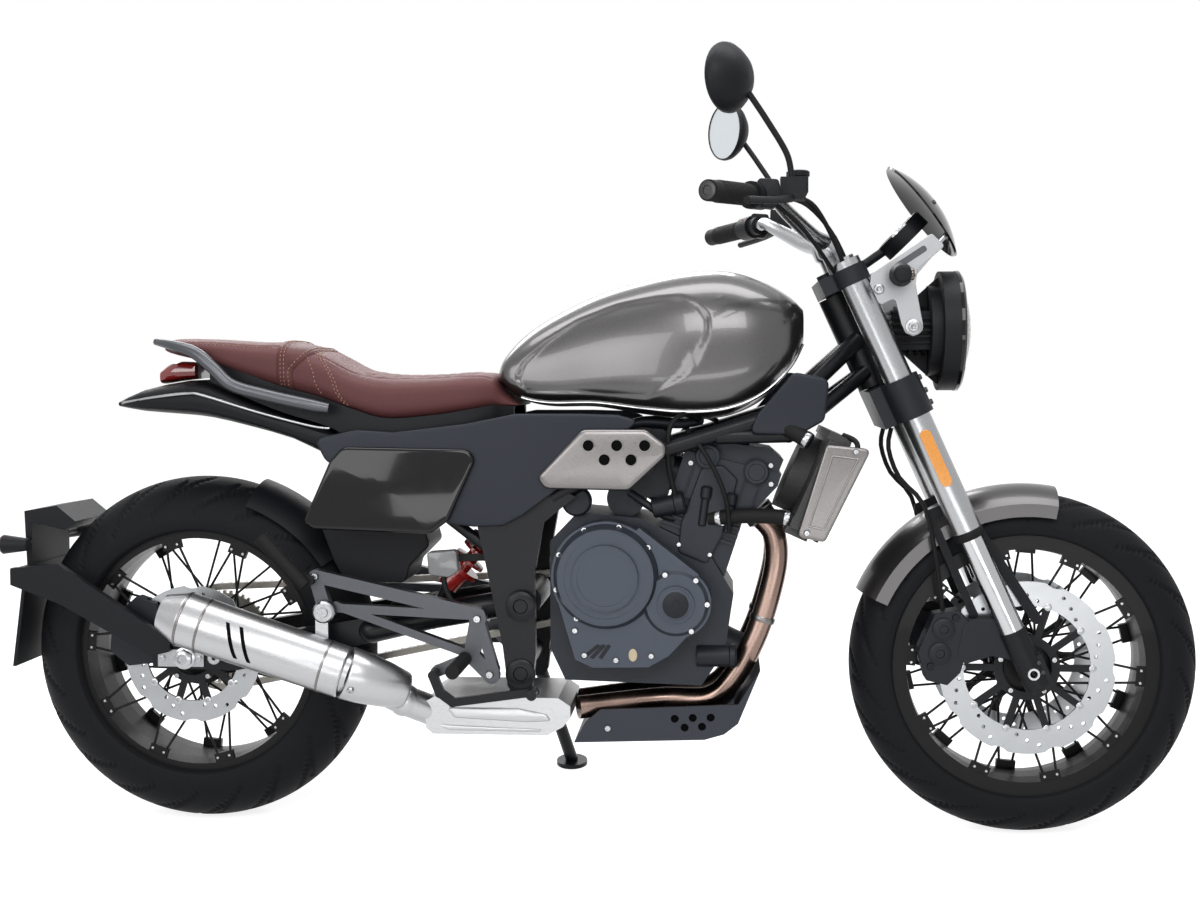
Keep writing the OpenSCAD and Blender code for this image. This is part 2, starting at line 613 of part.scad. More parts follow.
// Fork and steering
module yokes() color("#202123") in_fork() {
    for (z = [[478, 70, 8], [726, 30, 4]]) difference() {
        union() {
            for (s = [-1, 1]) translate([0, s * fork_y, z[0]]) cylinder(d = fork_tube_d + 2 * z[2], h = z[1]);
            translate([-fork_offset - 24, -fork_y, z[0]]) cube([60, 2 * fork_y, z[1]]);
        }
        for (s = [-1, 1]) translate([0, s * fork_y, z[0] - 5]) cylinder(d = fork_tube_d + 0.2, h = z[1] + 10);
    }
    translate([-fork_offset, 0, 540]) cylinder(d = 34, h = 225);
}
module fork_tubes() color("#c3c4c6") in_fork() both_sides() translate([0, fork_y, 0]) difference() {
    union() {
        translate([0, 0, 256]) cylinder(d = fork_tube_d, h = fork_len - 256);
        translate([0, 0, fork_len]) cylinder(d = 34, h = 6, $fn = 6);
    }
    translate([0, 0, 200]) cylinder(d = fork_slider_d + 0.6, h = fork_len - 240);
}
module fork_sliders() color("#b8babd") in_fork() both_sides() translate([0, fork_y, 0]) difference() {
    union() {
        translate([0, 0, 60]) cylinder(d = fork_slider_d, h = 340);
        translate([0, 0, -26]) cylinder(d = 44, h = 104);
        translate([-14, -14, -34]) cube([40, 28, 60]);
    }
    rotate([90, 0, 0]) cylinder(d = axle_d + 0.2, h = 100, center = true);
}
module front_calipers() color("#1a1a1b") both_sides() difference() {
    at_front_axle() slab(50, 96) polygon([[-118, -4], [-96, 74], [-120, 104], [-162, 96], [-190, 30], [-176, -18], [-140, -26]]);
    at_front_axle() slab(front_disc_y - 7.5, front_disc_y + 7.5) circle(r = front_disc_r + 6);
    in_fork() translate([0, fork_y, -100]) cylinder(d = 46, h = 400);
}
module front_fender() color("#6c6660") at_front_axle() rotate([0, -80, 0]) wheel_turn(76) difference() {
    guard_profile(guard_t);
    guard_profile(0);
    translate([0, -200]) square([front_tyre_r - crown_f + 22, 400]);
}
// Flat-sided section with a crowned top, grown by a wall
module guard_profile(wall) intersection() {
    translate([front_tyre_r - crown_f - 20, 0]) circle(r = crown_f + 20 + guard_gap + wall);
    translate([0, -crown_f - 7 - wall]) square([front_tyre_r + 60, front_tyre_w + 14 + 2 * wall]);
}
module fender_stays() color("#1c1c1d") front_end() both_sides() slab(crown_f + 10.5, crown_f + 15) {
    strip([1346, 588], [1478, 388], 18);
    strip([1346, 588], [1296, 566], 17);
    strip([1296, 566], [1372, 394], 14);
}
module handlebar() color("#b9babc") {
    half = [bar_at(bar_half), bar_at(335), bar_at(270), bar_at(243), bar_at(226), [1050, 165, 1073],
        [1094, 90, 1042], [1121, 40, 1034]];
    dia = [22, 22, 22, 22, 22, 25, 28, 28.6];
    front_end() tube(concat([for (i = [0 : 7]) [half[i].x, -half[i].y, half[i].z, dia[i]]],
        [for (i = [7 : -1 : 0]) [half[i].x, half[i].y, half[i].z, dia[i]]]), ref = [0, 0, 1]);
    // Risers on the upper yoke
    in_fork() for (s = [-1, 1]) rod([-11, s * 46, 756.3], [-11, s * 46, 802], 34);
}
module grips() color("#171718") front_end() both_sides() difference() {
    rod(bar_at(bar_half + 14), bar_at(297), grip_d);
    rod(bar_at(bar_half + 1), bar_at(280), 22.6);
}
module controls() color("#1b1b1c") front_end() both_sides() difference() {
    union() {
        rod(bar_at(296), bar_at(264), 44);
        rod(bar_at(266), bar_at(247), 34);
        translate([1032, 236, 1086]) cube([40, 36, 36]);
        rod(bar_at(256) + [10, 0, 4], [1042, 254, 1100], 20);
        // Lever blade ahead of the grip
        tube([[1046, 244, 1092, 16], [1048, 270, 1088, 14], [1022, 336, 1078, 12], [976, 420, 1070, 12]],
            ref = [0, 0, 1], sides = 10, k = 3);
    }
    rod(bar_at(320), bar_at(220), 22.6);
}
module mirrors() color("#191919") front_end() both_sides() {
    tube([[1050, 254, 1123.4, 10], [1042, 257, 1160, 10], [1010, 266, 1212, 10], [978, 274, 1258, 10],
        [968, 277, 1268, 10]], ref = [0, 1, 0], sides = 10);
    translate(mirror_at) rotate([0, 0, 32]) rotate([0, -90, 0]) {
        cylinder(r = mirror_r, h = 12);
        translate([0, 0, -26]) cylinder(r1 = mirror_r * 0.55, r2 = mirror_r, h = 26.1);
    }
}
module headlamp() color("#1d1d1e") front_end() {
    // Finned back, bowl and rim in one turned shape
    translate([1234, 0, 883]) rotate([0, 90, 0]) rotate([0, 0, 40]) rotate_extrude() polygon(concat(
        [[0, 0], [37, 0]],
        [for (i = [0 : 4]) each [[37, 6 + 12 * i], [43, 6 + 12 * i], [43, 11 + 12 * i], [37, 11 + 12 * i]]],
        [[37, 64], [lamp_r - 25, 64], [lamp_r - 25, 82], [lamp_r, 82], [lamp_r, 112], [0, 112]]));
    // Gussets to the rim
    for (s = [-1, 1]) slab(-4, 4) polygon([[1250, 883 + s * 34], [1318, 883 + s * 96], [1318, 883 + s * 60], [1296, 883 + s * 34]]);
    // Front indicators on the bracket
    both_sides() {
        rod([1236, 115, 973], [1236, 150, 973], 12);
        rod([1236, 150, 973], [1236, 172, 973], 40, 30, $fn = 24);
    }
}
// Domed lens, from a ball 200 mm in radius
module headlamp_lens() color("#dfe3e4") front_end() translate([1346, 0, 883]) rotate([0, 90, 0]) rotate_extrude($fn = 96)
    intersection() {
        square([lamp_r - 6, 26]);
        translate([0, 26 - 200]) circle(r = 200, $fn = 400);
    }
module lamp_bracket() color("#b2b3b5") front_end() both_sides() {
    slab(106, 114) difference() {
        union() {
            polygon([[1196, 950], [1240, 992], [1296, 1028], [1306, 1022], [1262, 970], [1272, 884], [1256, 880],
                [1236, 940], [1206, 930]]);
            translate([1262, 888]) circle(r = 15);
        }
        strip([1226, 956], [1246, 974], 8);
        strip([1256, 992], [1280, 1010], 7);
    }
    rod([1262, 44, 887], [1262, 106, 887], 16);
    // Stalk that reaches in to the screen's edge
    difference() {
        rod([1294, 109, 1019], [1324, 72, 1050], 9);
        translate(screen_at) difference() {
            sphere(r = screen_r + 60);
            sphere(r = screen_r - 4.3, $fn = 96);
        }
    }
}
module flyscreen() color("#131314") front_end() intersection() {
    translate(screen_at) difference() {
        sphere(r = screen_r, $fn = 96);
        sphere(r = screen_r - 4, $fn = 96);
    }
    translate(screen_at) rotate([0, 52.6, 0]) cylinder(r = 98, h = 260);
}
module instrument() color("#18181a") front_end() {
    rod([1266, 0, 1040], [1248, 0, 1058], 92);
    rod([1165, 0, 983.4], [1258, 0, 1048], 16);
}
module brake_hoses() color("#121213") front_end() both_sides()
    tube([[1231, 60, 715, 8], [1226, 64, 680, 8], [1244, 72, 630, 8], [1284, 88, 584, 8], [1304, 90, 500, 8],
        [1318, 82, 402, 8]], ref = [0, 1, 0], sides = 8, k = 3);

parked() main_frame();
parked() airbox();
parked() crankcase();
parked() engine_covers();
parked() cylinder_head();
parked() radiator();
parked() cover_plates();
parked() exhaust_headers();
parked() silencer();
parked() fuel_tank();
parked() seat();
parked() grab_rails();
parked() tail_cowl();
parked() tail_lamp();
parked() side_panels();
parked() number_panels();
parked() swingarm();
parked() stand_bobbins();
parked() rear_axle();
parked() shock_absorber();
parked() plate_bracket();
parked() rear_caliper();
parked() footpeg_hangers();
parked() footpegs();
parked() foot_levers();
parked() skid_plate();
parked() chain();
parked() side_stand();
parked() yokes();
parked() fork_tubes();
parked() fork_sliders();
parked() front_axle();
parked() front_calipers();
parked() front_fender();
parked() fender_stays();
parked() handlebar();
parked() grips();
parked() controls();
parked() mirrors();
parked() headlamp();
parked() headlamp_lens();
parked() lamp_bracket();
parked() flyscreen();
parked() instrument();
parked() brake_hoses();
parked() front_tyre();
parked() front_rim();
parked() front_discs();
parked() rear_tyre();
parked() rear_rim();
parked() rear_disc();
parked() rear_sprocket();
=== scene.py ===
import bpy
import math
import numpy as np
from mathutils import Matrix, Vector


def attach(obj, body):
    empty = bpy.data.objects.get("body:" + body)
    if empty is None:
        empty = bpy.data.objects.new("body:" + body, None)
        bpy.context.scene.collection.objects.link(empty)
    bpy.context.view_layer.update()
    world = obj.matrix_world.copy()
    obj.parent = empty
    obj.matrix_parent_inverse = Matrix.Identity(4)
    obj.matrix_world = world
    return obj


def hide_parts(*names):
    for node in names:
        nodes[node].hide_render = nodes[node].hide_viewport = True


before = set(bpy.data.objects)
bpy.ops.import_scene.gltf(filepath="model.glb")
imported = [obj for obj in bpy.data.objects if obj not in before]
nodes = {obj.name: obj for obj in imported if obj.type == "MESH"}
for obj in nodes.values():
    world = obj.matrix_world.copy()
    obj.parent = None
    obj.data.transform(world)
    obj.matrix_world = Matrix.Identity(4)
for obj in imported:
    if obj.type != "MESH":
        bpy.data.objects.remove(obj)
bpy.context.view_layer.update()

# ---- driving dimensions, as in the CAD part. The machine is drawn upright in millimetres, X forward from the rear
# axle, Y to its left, Z up, and then leaned on its stand. Most shapes are drawn on the left and mirrored.
LEAN, RAKE = math.radians(9), math.radians(24.5)
WHEELBASE = 1465.0
FRONT_R, FRONT_W = 300.0, 120.0
REAR_R, REAR_W = 312.0, 160.0
TAIL_REACH = 334                                # from the rear axle back to the plate
ORIGIN_X, ORIGIN_Y = (WHEELBASE + FRONT_R - TAIL_REACH) / 2, 168.4
COS_LEAN, SIN_LEAN = math.cos(LEAN), math.sin(LEAN)
FRONT_Z = FRONT_R + FRONT_W / 2 * (1 / COS_LEAN - 1)
REAR_Z = REAR_R + REAR_W / 2 * (1 / COS_LEAN - 1)
FRONT_AXLE, REAR_AXLE = (WHEELBASE, 0.0, FRONT_Z), (0.0, 0.0, REAR_Z)
CRANK_X, CRANK_Z, BANK = 862, 420, math.radians(18)     # crankshaft and the cylinders' slant
CLUTCH_X, CLUTCH_Z = 743, 465
LAMP_Z = 883
LEFT, UP = (0, 1, 0), (0, 0, 1)
FORK_UP, FORK_AHEAD = (-math.sin(RAKE), 0, math.cos(RAKE)), (math.cos(RAKE), 0, math.sin(RAKE))
TILT = np.array(((1, 0, 0), (0, COS_LEAN, SIN_LEAN), (0, -SIN_LEAN, COS_LEAN)))


def row_dir(v):
    """Upright direction to the row frame."""
    return np.asarray(v, float) @ TILT.T


def row(points):
    """Upright millimetres to the row frame in metres."""
    return (row_dir(np.reshape(points, (-1, 3))) - (ORIGIN_X, ORIGIN_Y, 0)) / 1000


def bank_point(x, y, z):
    """Cylinder frame (Z up the bores from the crankshaft) to upright millimetres."""
    return (CRANK_X + x * math.cos(BANK) + z * math.sin(BANK), y, CRANK_Z - x * math.sin(BANK) + z * math.cos(BANK))


def fork_point(x, y, z):
    """Fork frame (Z up the leg from the axle, X ahead of it) to upright millimetres."""
    return (WHEELBASE + x * FORK_AHEAD[0] + z * FORK_UP[0], y, FRONT_Z + x * FORK_AHEAD[2] + z * FORK_UP[2])


# ---- materials
def node(nt, kind, **values):
    """New shader node with some inputs set; an underscore stands for a space in an input's name."""
    n = nt.nodes.new("ShaderNode" + kind)
    for key, value in values.items():
        n.inputs[key.replace("_", " ")].default_value = value
    return n


def shader(nt, color, rough=0.5, metal=0.0, coat=0.0, bump=0.0, scale=90.0, var=0.12, rvar=0.08, stretch=(1, 1, 1),
           detail="noise", transmission=0.0, emission=0.0, spec=0.5):
    """One Principled shader whose colour and roughness vary with a procedural grain; returns its node."""
    link = nt.links.new
    bsdf = node(nt, "BsdfPrincipled", Metallic=metal, Coat_Weight=coat, Coat_Roughness=0.04,
                Transmission_Weight=transmission, Specular_IOR_Level=spec)
    if emission:
        bsdf.inputs["Emission Color"].default_value = (*color, 1)
        bsdf.inputs["Emission Strength"].default_value = emission
    place, spread = node(nt, "TexCoord"), node(nt, "Mapping", Scale=stretch)
    link(place.outputs["Object"], spread.inputs["Vector"])
    if detail == "cells":
        grain = node(nt, "TexVoronoi")
        grain.feature = "DISTANCE_TO_EDGE"
        value = grain.outputs["Distance"]
    else:
        grain = node(nt, "TexNoise", Detail=4)
        value = grain.outputs["Fac"]
    grain.inputs["Scale"].default_value = scale
    link(spread.outputs["Vector"], grain.inputs["Vector"])
    tint = node(nt, "Mix")
    tint.data_type = "RGBA"
    tint.inputs[6].default_value = (*[c * (1 - var) for c in color], 1)
    tint.inputs[7].default_value = (*[min(1, c * (1 + var)) for c in color], 1)
    link(value, tint.inputs[0])
    link(tint.outputs[2], bsdf.inputs["Base Color"])
    polish = node(nt, "MapRange", From_Min=0.25, From_Max=0.75, To_Min=max(0.02, rough - rvar),
                  To_Max=min(1, rough + rvar))
    link(value, polish.inputs["Value"])
    link(polish.outputs["Result"], bsdf.inputs["Roughness"])
    if bump:
        relief = node(nt, "Bump", Strength=bump, Distance=0.001)
        link(value, relief.inputs["Height"])
        link(relief.outputs["Normal"], bsdf.inputs["Normal"])
    return bsdf


def blank(name):
    """Empty node material: the material, its tree and its output node."""
    m = bpy.data.materials.new(name)
    m.use_nodes = True
    m.node_tree.nodes.clear()
    return m, m.node_tree, node(m.node_tree, "OutputMaterial")


def mat(name, color, **kw):
    m, nt, out = blank(name)
    nt.links.new(shader(nt, color, **kw).outputs[0], out.inputs[0])
    return m


def blend(nt, share, a, b):
    """Mix of two shaders by a share."""
    mix = node(nt, "MixShader")
    for i, socket in enumerate((share, a.outputs[0], b.outputs[0])):
        nt.links.new(socket, mix.inputs[i])
    return mix


def split_mat(name, near, far, at, centre, turn, kind):
    """Two finishes either side of a distance in metres, measured round the Y axis or along an axis of a local frame
    (centre in mm, turn in radians)."""
    m, nt, out = blank(name)
    link = nt.links.new
    place = node(nt, "TexCoord")
    local = node(nt, "Mapping", Location=tuple(row(centre)[0]), Rotation=turn)
    local.vector_type = "TEXTURE"
    axes = node(nt, "SeparateXYZ")
    link(place.outputs["Object"], local.inputs["Vector"])
    link(local.outputs["Vector"], axes.inputs[0])
    if kind == "round":
        flat, length = node(nt, "CombineXYZ"), node(nt, "VectorMath")
        length.operation = "LENGTH"
        link(axes.outputs["X"], flat.inputs["X"])
        link(axes.outputs["Z"], flat.inputs["Z"])
        link(flat.outputs[0], length.inputs[0])
        value = length.outputs["Value"]
    else:
        value = axes.outputs[kind]
    past = node(nt, "Math")
    past.operation = "GREATER_THAN"
    past.inputs[1].default_value = at
    link(value, past.inputs[0])
    link(blend(nt, past.outputs[0], shader(nt, **near), shader(nt, **far)).outputs[0], out.inputs[0])
    return m


STEEL = dict(color=(0.170, 0.162, 0.160), rough=0.33, metal=1, scale=60, stretch=(2, 40, 40), var=0.10, rvar=0.10)
DISC = dict(color=(0.33, 0.34, 0.35), rough=0.30, metal=1, scale=40, var=0.03, rvar=0.03)
BLACK = dict(color=(0.005, 0.0055, 0.007), rough=0.46, spec=0.20, scale=300, bump=0.06, var=0.2)
SLIDER = dict(color=(0.46, 0.465, 0.475), rough=0.16, metal=1, scale=60, var=0.04)
CAN_WARM = dict(STEEL, color=(0.43, 0.400, 0.388), rough=0.27, var=0.18)
CAN_COOL = dict(STEEL, color=(0.40, 0.402, 0.41), var=0.16)
LEATHER = dict(detail="cells", spec=0.22)
PAINT = dict(scale=1400, var=0.30, rvar=0.06)
CAST = dict(rough=0.44, scale=500, bump=0.22, var=0.2)
SHEET = dict(metal=0.30, spec=0.20, scale=800, bump=0.06, var=0.15)
LENS = dict(coat=1.0, var=0.3, rvar=0.03)
M = {
    "paint": mat("paint", (0.088, 0.085, 0.086), rough=0.30, metal=0.85, coat=0.5, **PAINT),
    "fender": mat("fender_paint", (0.064, 0.061, 0.062), rough=0.32, metal=0.8, coat=0.3, **PAINT),
    "leather": mat("leather", (0.108, 0.0365, 0.0375), rough=0.62, scale=420, bump=0.35, var=0.18, **LEATHER),
    "strap": mat("strap", (0.096, 0.032, 0.033), rough=0.60, scale=480, bump=0.3, var=0.15, **LEATHER),
    "thread": mat("thread", (0.30, 0.175, 0.115), rough=0.8, scale=700, bump=0.2),
    "frame": mat("frame_black", BLACK["color"], rough=0.36, spec=0.20, scale=220, bump=0.05, var=0.2),
    "plastic": mat("black_plastic", (0.0055, 0.006, 0.0078), rough=0.50, spec=0.17, scale=700, bump=0.18, var=0.2),
    "panel": mat("panel_grey", (0.0175, 0.0205, 0.027), rough=0.40, **SHEET),
    "skid": mat("skid_grey", (0.032, 0.036, 0.045), rough=0.42, **SHEET),
    "gloss": mat("gloss_black", (0.004, 0.004, 0.005), rough=0.08, coat=0.30, spec=0.15, scale=30, var=0.3, rvar=0.03),
    "screen": mat("smoked_screen", (0.007, 0.006, 0.006), rough=0.10, coat=0.25, spec=0.2, scale=20, var=0.3,
                  rvar=0.03),
    "engine_black": mat("engine_black", (0.0095, 0.0112, 0.015), spec=0.20, **CAST),
    "engine_cast": mat("engine_cast", (0.0175, 0.0212, 0.028), spec=0.22, **CAST),
    "engine_grey": mat("engine_grey", (0.050, 0.058, 0.074), rough=0.40, metal=0.55, spec=0.25, scale=600, bump=0.14,
                       var=0.15),
    "steel": mat("brushed_steel", **STEEL),
    "bolt": mat("bolt_steel", (0.36, 0.365, 0.375), rough=0.28, metal=1, scale=200, var=0.1),
    "dark_bolt": mat("dark_bolt", (0.05, 0.05, 0.052), rough=0.38, metal=0.7, scale=200),
    "alloy": mat("silver_anodised", (0.36, 0.365, 0.375), rough=0.26, metal=1, scale=160, stretch=(6, 6, 30), var=0.05),
    "satin": mat("satin_alloy", (0.33, 0.335, 0.345), rough=0.34, metal=1, scale=160, stretch=(30, 6, 6), var=0.06),
    "chrome": mat("bright_chrome", (0.56, 0.565, 0.575), rough=0.10, metal=1, scale=40, var=0.04, rvar=0.04),
    "hanger": mat("hanger_grey", (0.072, 0.075, 0.083), rough=0.40, metal=0.85, scale=500, bump=0.10),
    "rail": mat("rail_grey", (0.078, 0.081, 0.090), rough=0.36, metal=0.7, scale=500, bump=0.06),
    "header": mat("heat_tinted_pipe", (0.235, 0.165, 0.138), rough=0.28, metal=1, scale=14, var=0.35, rvar=0.10),
    "tyre": mat("tyre_rubber", (0.0050, 0.0054, 0.0068), rough=0.66, scale=400, bump=0.15, var=0.2, spec=0.13),
    "rubber": mat("rubber", (0.006, 0.006, 0.0063), rough=0.60, scale=500, bump=0.2, spec=0.16),
    "rim": mat("rim_black", (0.004, 0.004, 0.0043), rough=0.38, spec=0.14, scale=300, bump=0.04, coat=0.05),
    "red": mat("red_lens", (0.20, 0.010, 0.008), rough=0.10, scale=140, **LENS),
    "smoked": mat("smoked_lens", (0.050, 0.016, 0.004), rough=0.10, scale=120, **LENS),
    "amber": mat("amber_lens", (0.85, 0.30, 0.015), rough=0.16, coat=1.0, scale=260, var=0.25, bump=0.15),
    "gold": mat("sight_glass", (0.50, 0.41, 0.25), rough=0.16, coat=0.8, scale=90),
    "spring": mat("spring_red", (0.40, 0.016, 0.012), rough=0.28, coat=0.6, scale=80),
    "chain": mat("chain_steel", (0.30, 0.285, 0.26), rough=0.38, metal=1, scale=400, bump=0.2, var=0.3),
    "glass": mat("lens_glass", (0.93, 0.95, 0.96), rough=0.04, transmission=0.92, scale=30, var=0.02, rvar=0.02),
    "reflector": mat("reflector", (0.82, 0.83, 0.84), rough=0.14, metal=1, scale=90, var=0.06, bump=0.3),
    # mirror glass: light half-diffuse grey and a faint glow (emission 0.10) are a painted reflection of a bright
    # surround
    "mirror": mat("mirror_glass_painted_glow", (0.62, 0.66, 0.69), rough=0.05, metal=0.55, emission=0.10, scale=10, var=0.03,
                  rvar=0.015),
    "clear": mat("milky_plastic", (0.17, 0.175, 0.18), rough=0.30, coat=0.4, scale=60, var=0.08),
    # near-black for holes and slots drawn as flat discs and strips: painted shade where the real parts are open
    "hole_shade": mat("painted_hole_shade", (0.0022, 0.0022, 0.0024), rough=0.8, spec=0.05, scale=200, var=0.3),
    "core": mat("radiator_core", (0.030, 0.030, 0.031), rough=0.5, metal=0.4, scale=900, stretch=(0.2, 0.2, 1),
                bump=0.8),
}
wheel_turn = (-LEAN, 0, 0)
fork_turn = (Matrix.Rotation(-LEAN, 3, "X") @ Matrix.Rotation(-RAKE, 3, "Y")).to_euler()
M["front_disc"] = split_mat("front_disc", BLACK, DISC, 0.1075, FRONT_AXLE, wheel_turn, "round")
M["rear_disc"] = split_mat("rear_disc", BLACK, DISC, 0.0835, REAR_AXLE, wheel_turn, "round")
M["slider"] = split_mat("fork_slider", BLACK, SLIDER, 0.0785, FRONT_AXLE, tuple(fork_turn), "Z")
M["can"] = split_mat("silencer_steel", CAN_WARM, CAN_COOL, -0.40, (0, 0, 300), (0, 0, 0), "X")

# Slot of a piece by its material, where the two names differ
SLOT = {
    "paint": "tank_paint", "leather": "seat_leather", "strap": "seat_leather", "thread": "seat_leather",
    "frame": "black_frame", "dark_bolt": "black_frame", "plastic": "black_plastic", "panel": "grey_plastic",
    "clear": "grey_plastic", "gloss": "gloss_black", "screen": "gloss_black", "engine_cast": "engine_black",
    "hole_shade": "engine_black", "gold": "engine_grey", "bolt": "steel", "can": "steel", "chain": "steel", "satin": "alloy",
    "hanger": "alloy", "rail": "alloy", "header": "header_steel", "red": "red_lens", "smoked": "red_lens",
    "amber": "red_lens", "reflector": "chrome", "mirror": "chrome",
}

# CAD nodes keep their shape: nodes by material and bevel width in mm (0 leaves their shading, SMOOTH softens it)
SMOOTH = -1
FINISH = {
    ("bolt", 0): "stand_bobbins rear_axle front_axle", ("frame", 0): "main_frame swingarm foot_levers side_stand",
    ("core", 0): "radiator", ("can", 0): "silencer", ("spring", 0): "shock_absorber", ("skid", 0): "skid_plate",
    ("chain", 0): "chain rear_sprocket", ("alloy", 0): "fork_tubes", ("fender", 0): "front_fender",
    ("rubber", 0): "grips", ("plastic", 0): "headlamp instrument", ("glass", 0): "headlamp_lens",
    ("screen", 0): "flyscreen", ("tyre", 0): "front_tyre rear_tyre", ("rim", 0): "front_rim rear_rim",
    ("front_disc", 0): "front_discs", ("rear_disc", 0): "rear_disc",
    ("header", SMOOTH): "exhaust_headers", ("paint", SMOOTH): "fuel_tank", ("leather", SMOOTH): "seat",
    ("rail", SMOOTH): "grab_rails", ("plastic", SMOOTH): "tail_cowl controls mirrors", ("red", SMOOTH): "tail_lamp",
    ("slider", SMOOTH): "fork_sliders", ("alloy", SMOOTH): "handlebar", ("rubber", SMOOTH): "brake_hoses",
    ("plastic", 0.8): "fender_stays", ("alloy", 0.8): "lamp_bracket", ("rubber", 1): "footpegs",
    ("engine_cast", 1.2): "cylinder_head", ("steel", 1.2): "cover_plates", ("hanger", 1.4): "footpeg_hangers",
    ("plastic", 1.5): "plate_bracket", ("engine_black", 1.5): "rear_caliper yokes",
    ("engine_grey", 1.8): "engine_covers", ("engine_black", 1.8): "front_calipers", ("plastic", 2): "airbox",
    ("engine_cast", 2): "crankcase", ("panel", 2): "side_panels", ("gloss", 3): "number_panels",
}


def soften(o, width, segments, angle, weight=50):
    """Rounded edges of a width in mm where faces meet at more than an angle in degrees."""
    b = o.modifiers.new("bevel", "BEVEL")
    b.width, b.segments = width / 1000, segments
    b.limit_method, b.angle_limit = "ANGLE", math.radians(angle)
    o.modifiers.new("normals", "WEIGHTED_NORMAL").weight = weight


def crease(o, angle):
    """Smooth shading, broken where faces meet at more than an angle in degrees."""
    o.modifiers.new("split", "EDGE_SPLIT").split_angle = math.radians(angle)


def dress(o, key, width):
    """Material and edges of a CAD node."""
    o.data.materials.clear()
    o.data.materials.append(M[key])
    o.data.polygons.foreach_set("material_index", [0] * len(o.data.polygons))
    if width == 0:
        return
    o.data.polygons.foreach_set("use_smooth", [True] * len(o.data.polygons))
    if "custom_normal" in o.data.attributes:
        o.data.attributes.remove(o.data.attributes["custom_normal"])
    o.modifiers.new("weld", "WELD").merge_threshold = 2e-6
    if width == SMOOTH:
        crease(o, 42)
    else:
        soften(o, width, 2, 35, 80)


for (key, width), names in FINISH.items():
    for name in names.split():
        dress(nodes[name], key, width)


# ---- mesh makers: a part is a pair of points in upright millimetres and faces
def piece(name, part, key, body="chassis", replaces=(), bevel=0.0, sharp=30.0, slot=None):
    """One object riding a body, with bevelled edges (mm) or creases past an angle (degrees)."""
    verts, faces = part
    me = bpy.data.meshes.new(name)
    me.from_pydata([tuple(v) for v in row(verts)], [], [tuple(int(i) for i in f) for f in faces])
    me.validate()
    me.polygons.foreach_set("use_smooth", [True] * len(me.polygons))
    me.materials.append(M[key])
    o = bpy.data.objects.new(name, me)
    bpy.context.scene.collection.objects.link(o)
    if bevel:
        soften(o, bevel, 3, 30)
    elif sharp:
        crease(o, sharp)
    slot = slot or SLOT.get(key, key)
    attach(o, body)
    if replaces:
        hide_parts(*replaces)
    return o


def unit(v):
    v = np.array(v, float)
    return v / np.linalg.norm(v)


def ramp(value, start, end):
    """0 at start, 1 at end, straight between them and flat outside; start may lie past end."""
    return np.clip((value - start) / (end - start), 0, 1)


def on_circle(x, z, r, y, degrees):
    return [(x + r * math.cos(math.radians(a)), y, z + r * math.sin(math.radians(a))) for a in degrees]


def hoop(centre, e, f, r, sides):
    """Circle of points in the plane of e and f."""
    ang = np.arange(sides) * 2 * math.pi / sides
    return centre + r * (np.outer(np.cos(ang), e) + np.outer(np.sin(ang), f))


def spline(rows, k):
    """Catmull-Rom curve through rows, with k steps in each span."""
    rows = np.asarray(rows, float)
    out = []
    for i in range(len(rows) - 1):
        a, b, c, d = rows[max(i - 1, 0)], rows[i], rows[i + 1], rows[min(i + 2, len(rows) - 1)]
        for t in np.arange(k) / k:
            out.append(0.5 * (2 * b + (c - a) * t + (2 * a - 5 * b + 4 * c - d) * t * t
                              + (3 * b - a - 3 * c + d) * t ** 3))
    return np.array(out + [rows[-1]])


def skin(rings, closed=False):
    """Surface over rings of points, capped at both ends or closed to a loop."""
    m, n = len(rings), len(rings[0])
    idx = np.arange(m * n).reshape(m, n)
    faces = []
    for j in range(m if closed else m - 1):
        a, b = idx[j], idx[(j + 1) % m]
        faces += [(a[i - 1], a[i], b[i], b[i - 1]) for i in range(n)]
    if not closed:
        faces += [tuple(idx[0][::-1]), tuple(idx[-1])]
    return np.concatenate([np.asarray(r, float) for r in rings]), faces


def merge(*parts):
    v, f, base = [], [], 0
    for a, b in parts:
        v.append(np.asarray(a, float))
        f += [tuple(i + base for i in face) for face in b]
        base += len(a)
    return np.concatenate(v), f


def mirror_y(part):
    v, f = part
    return np.asarray(v, float) * (1, -1, 1), [tuple(reversed(face)) for face in f]


def both(*parts):
    """Parts drawn on the left, and their mirror images on the right."""
    part = merge(*parts)
    return merge(part, mirror_y(part))


def tube(path, dia=None, ref=LEFT, sides=20, k=8):
    """Round tube along a path; without dia each point brings its own diameter."""
    p = spline(path if dia is None else [(*q, dia) for q in path], k)
    rings = []
    for i, q in enumerate(p):
        t = unit(p[min(i + 1, len(p) - 1)][:3] - p[max(i - 1, 0)][:3])
        e = unit(np.cross(ref, t))
        rings.append(hoop(q[:3], e, np.cross(t, e), q[3] / 2, sides))
    return skin(rings)


def turned(a, b, profile, segs=32):
    """Lathe shape from a towards b through pairs of radius and distance in mm."""
    a, t = np.array(a, float), unit(np.subtract(b, a))
    e = unit(np.cross(t, UP if abs(t[2]) < 0.9 else (1, 0, 0)))
    return skin([hoop(a + t * d, e, np.cross(t, e), max(r, 0.01), segs) for r, d in profile])


def stud(at, profile, segs=32):
    """Lathe shape standing out to the left."""
    return turned(at, np.add(at, LEFT), profile, segs)


def bolt_set(points, direction, r=5.0, h=4.0, hexagon=False):
    """Button heads with a socket, or hex heads, standing on points along a direction."""
    prof = [(r * 1.05, -1), (r, 0), (r, h * 0.6), (r * 0.8, h), (r * 0.45, h), (r * 0.42, h * 0.5), (0, h * 0.5)]
    if hexagon:
        prof = [(r * 1.35, 0), (r * 1.35, 1.2), (r, 1.2), (r, h), (r * 0.7, h * 1.05), (0, h * 1.05)]
    return merge(*[turned(p, np.add(p, direction), prof, 6 if hexagon else 16) for p in points])


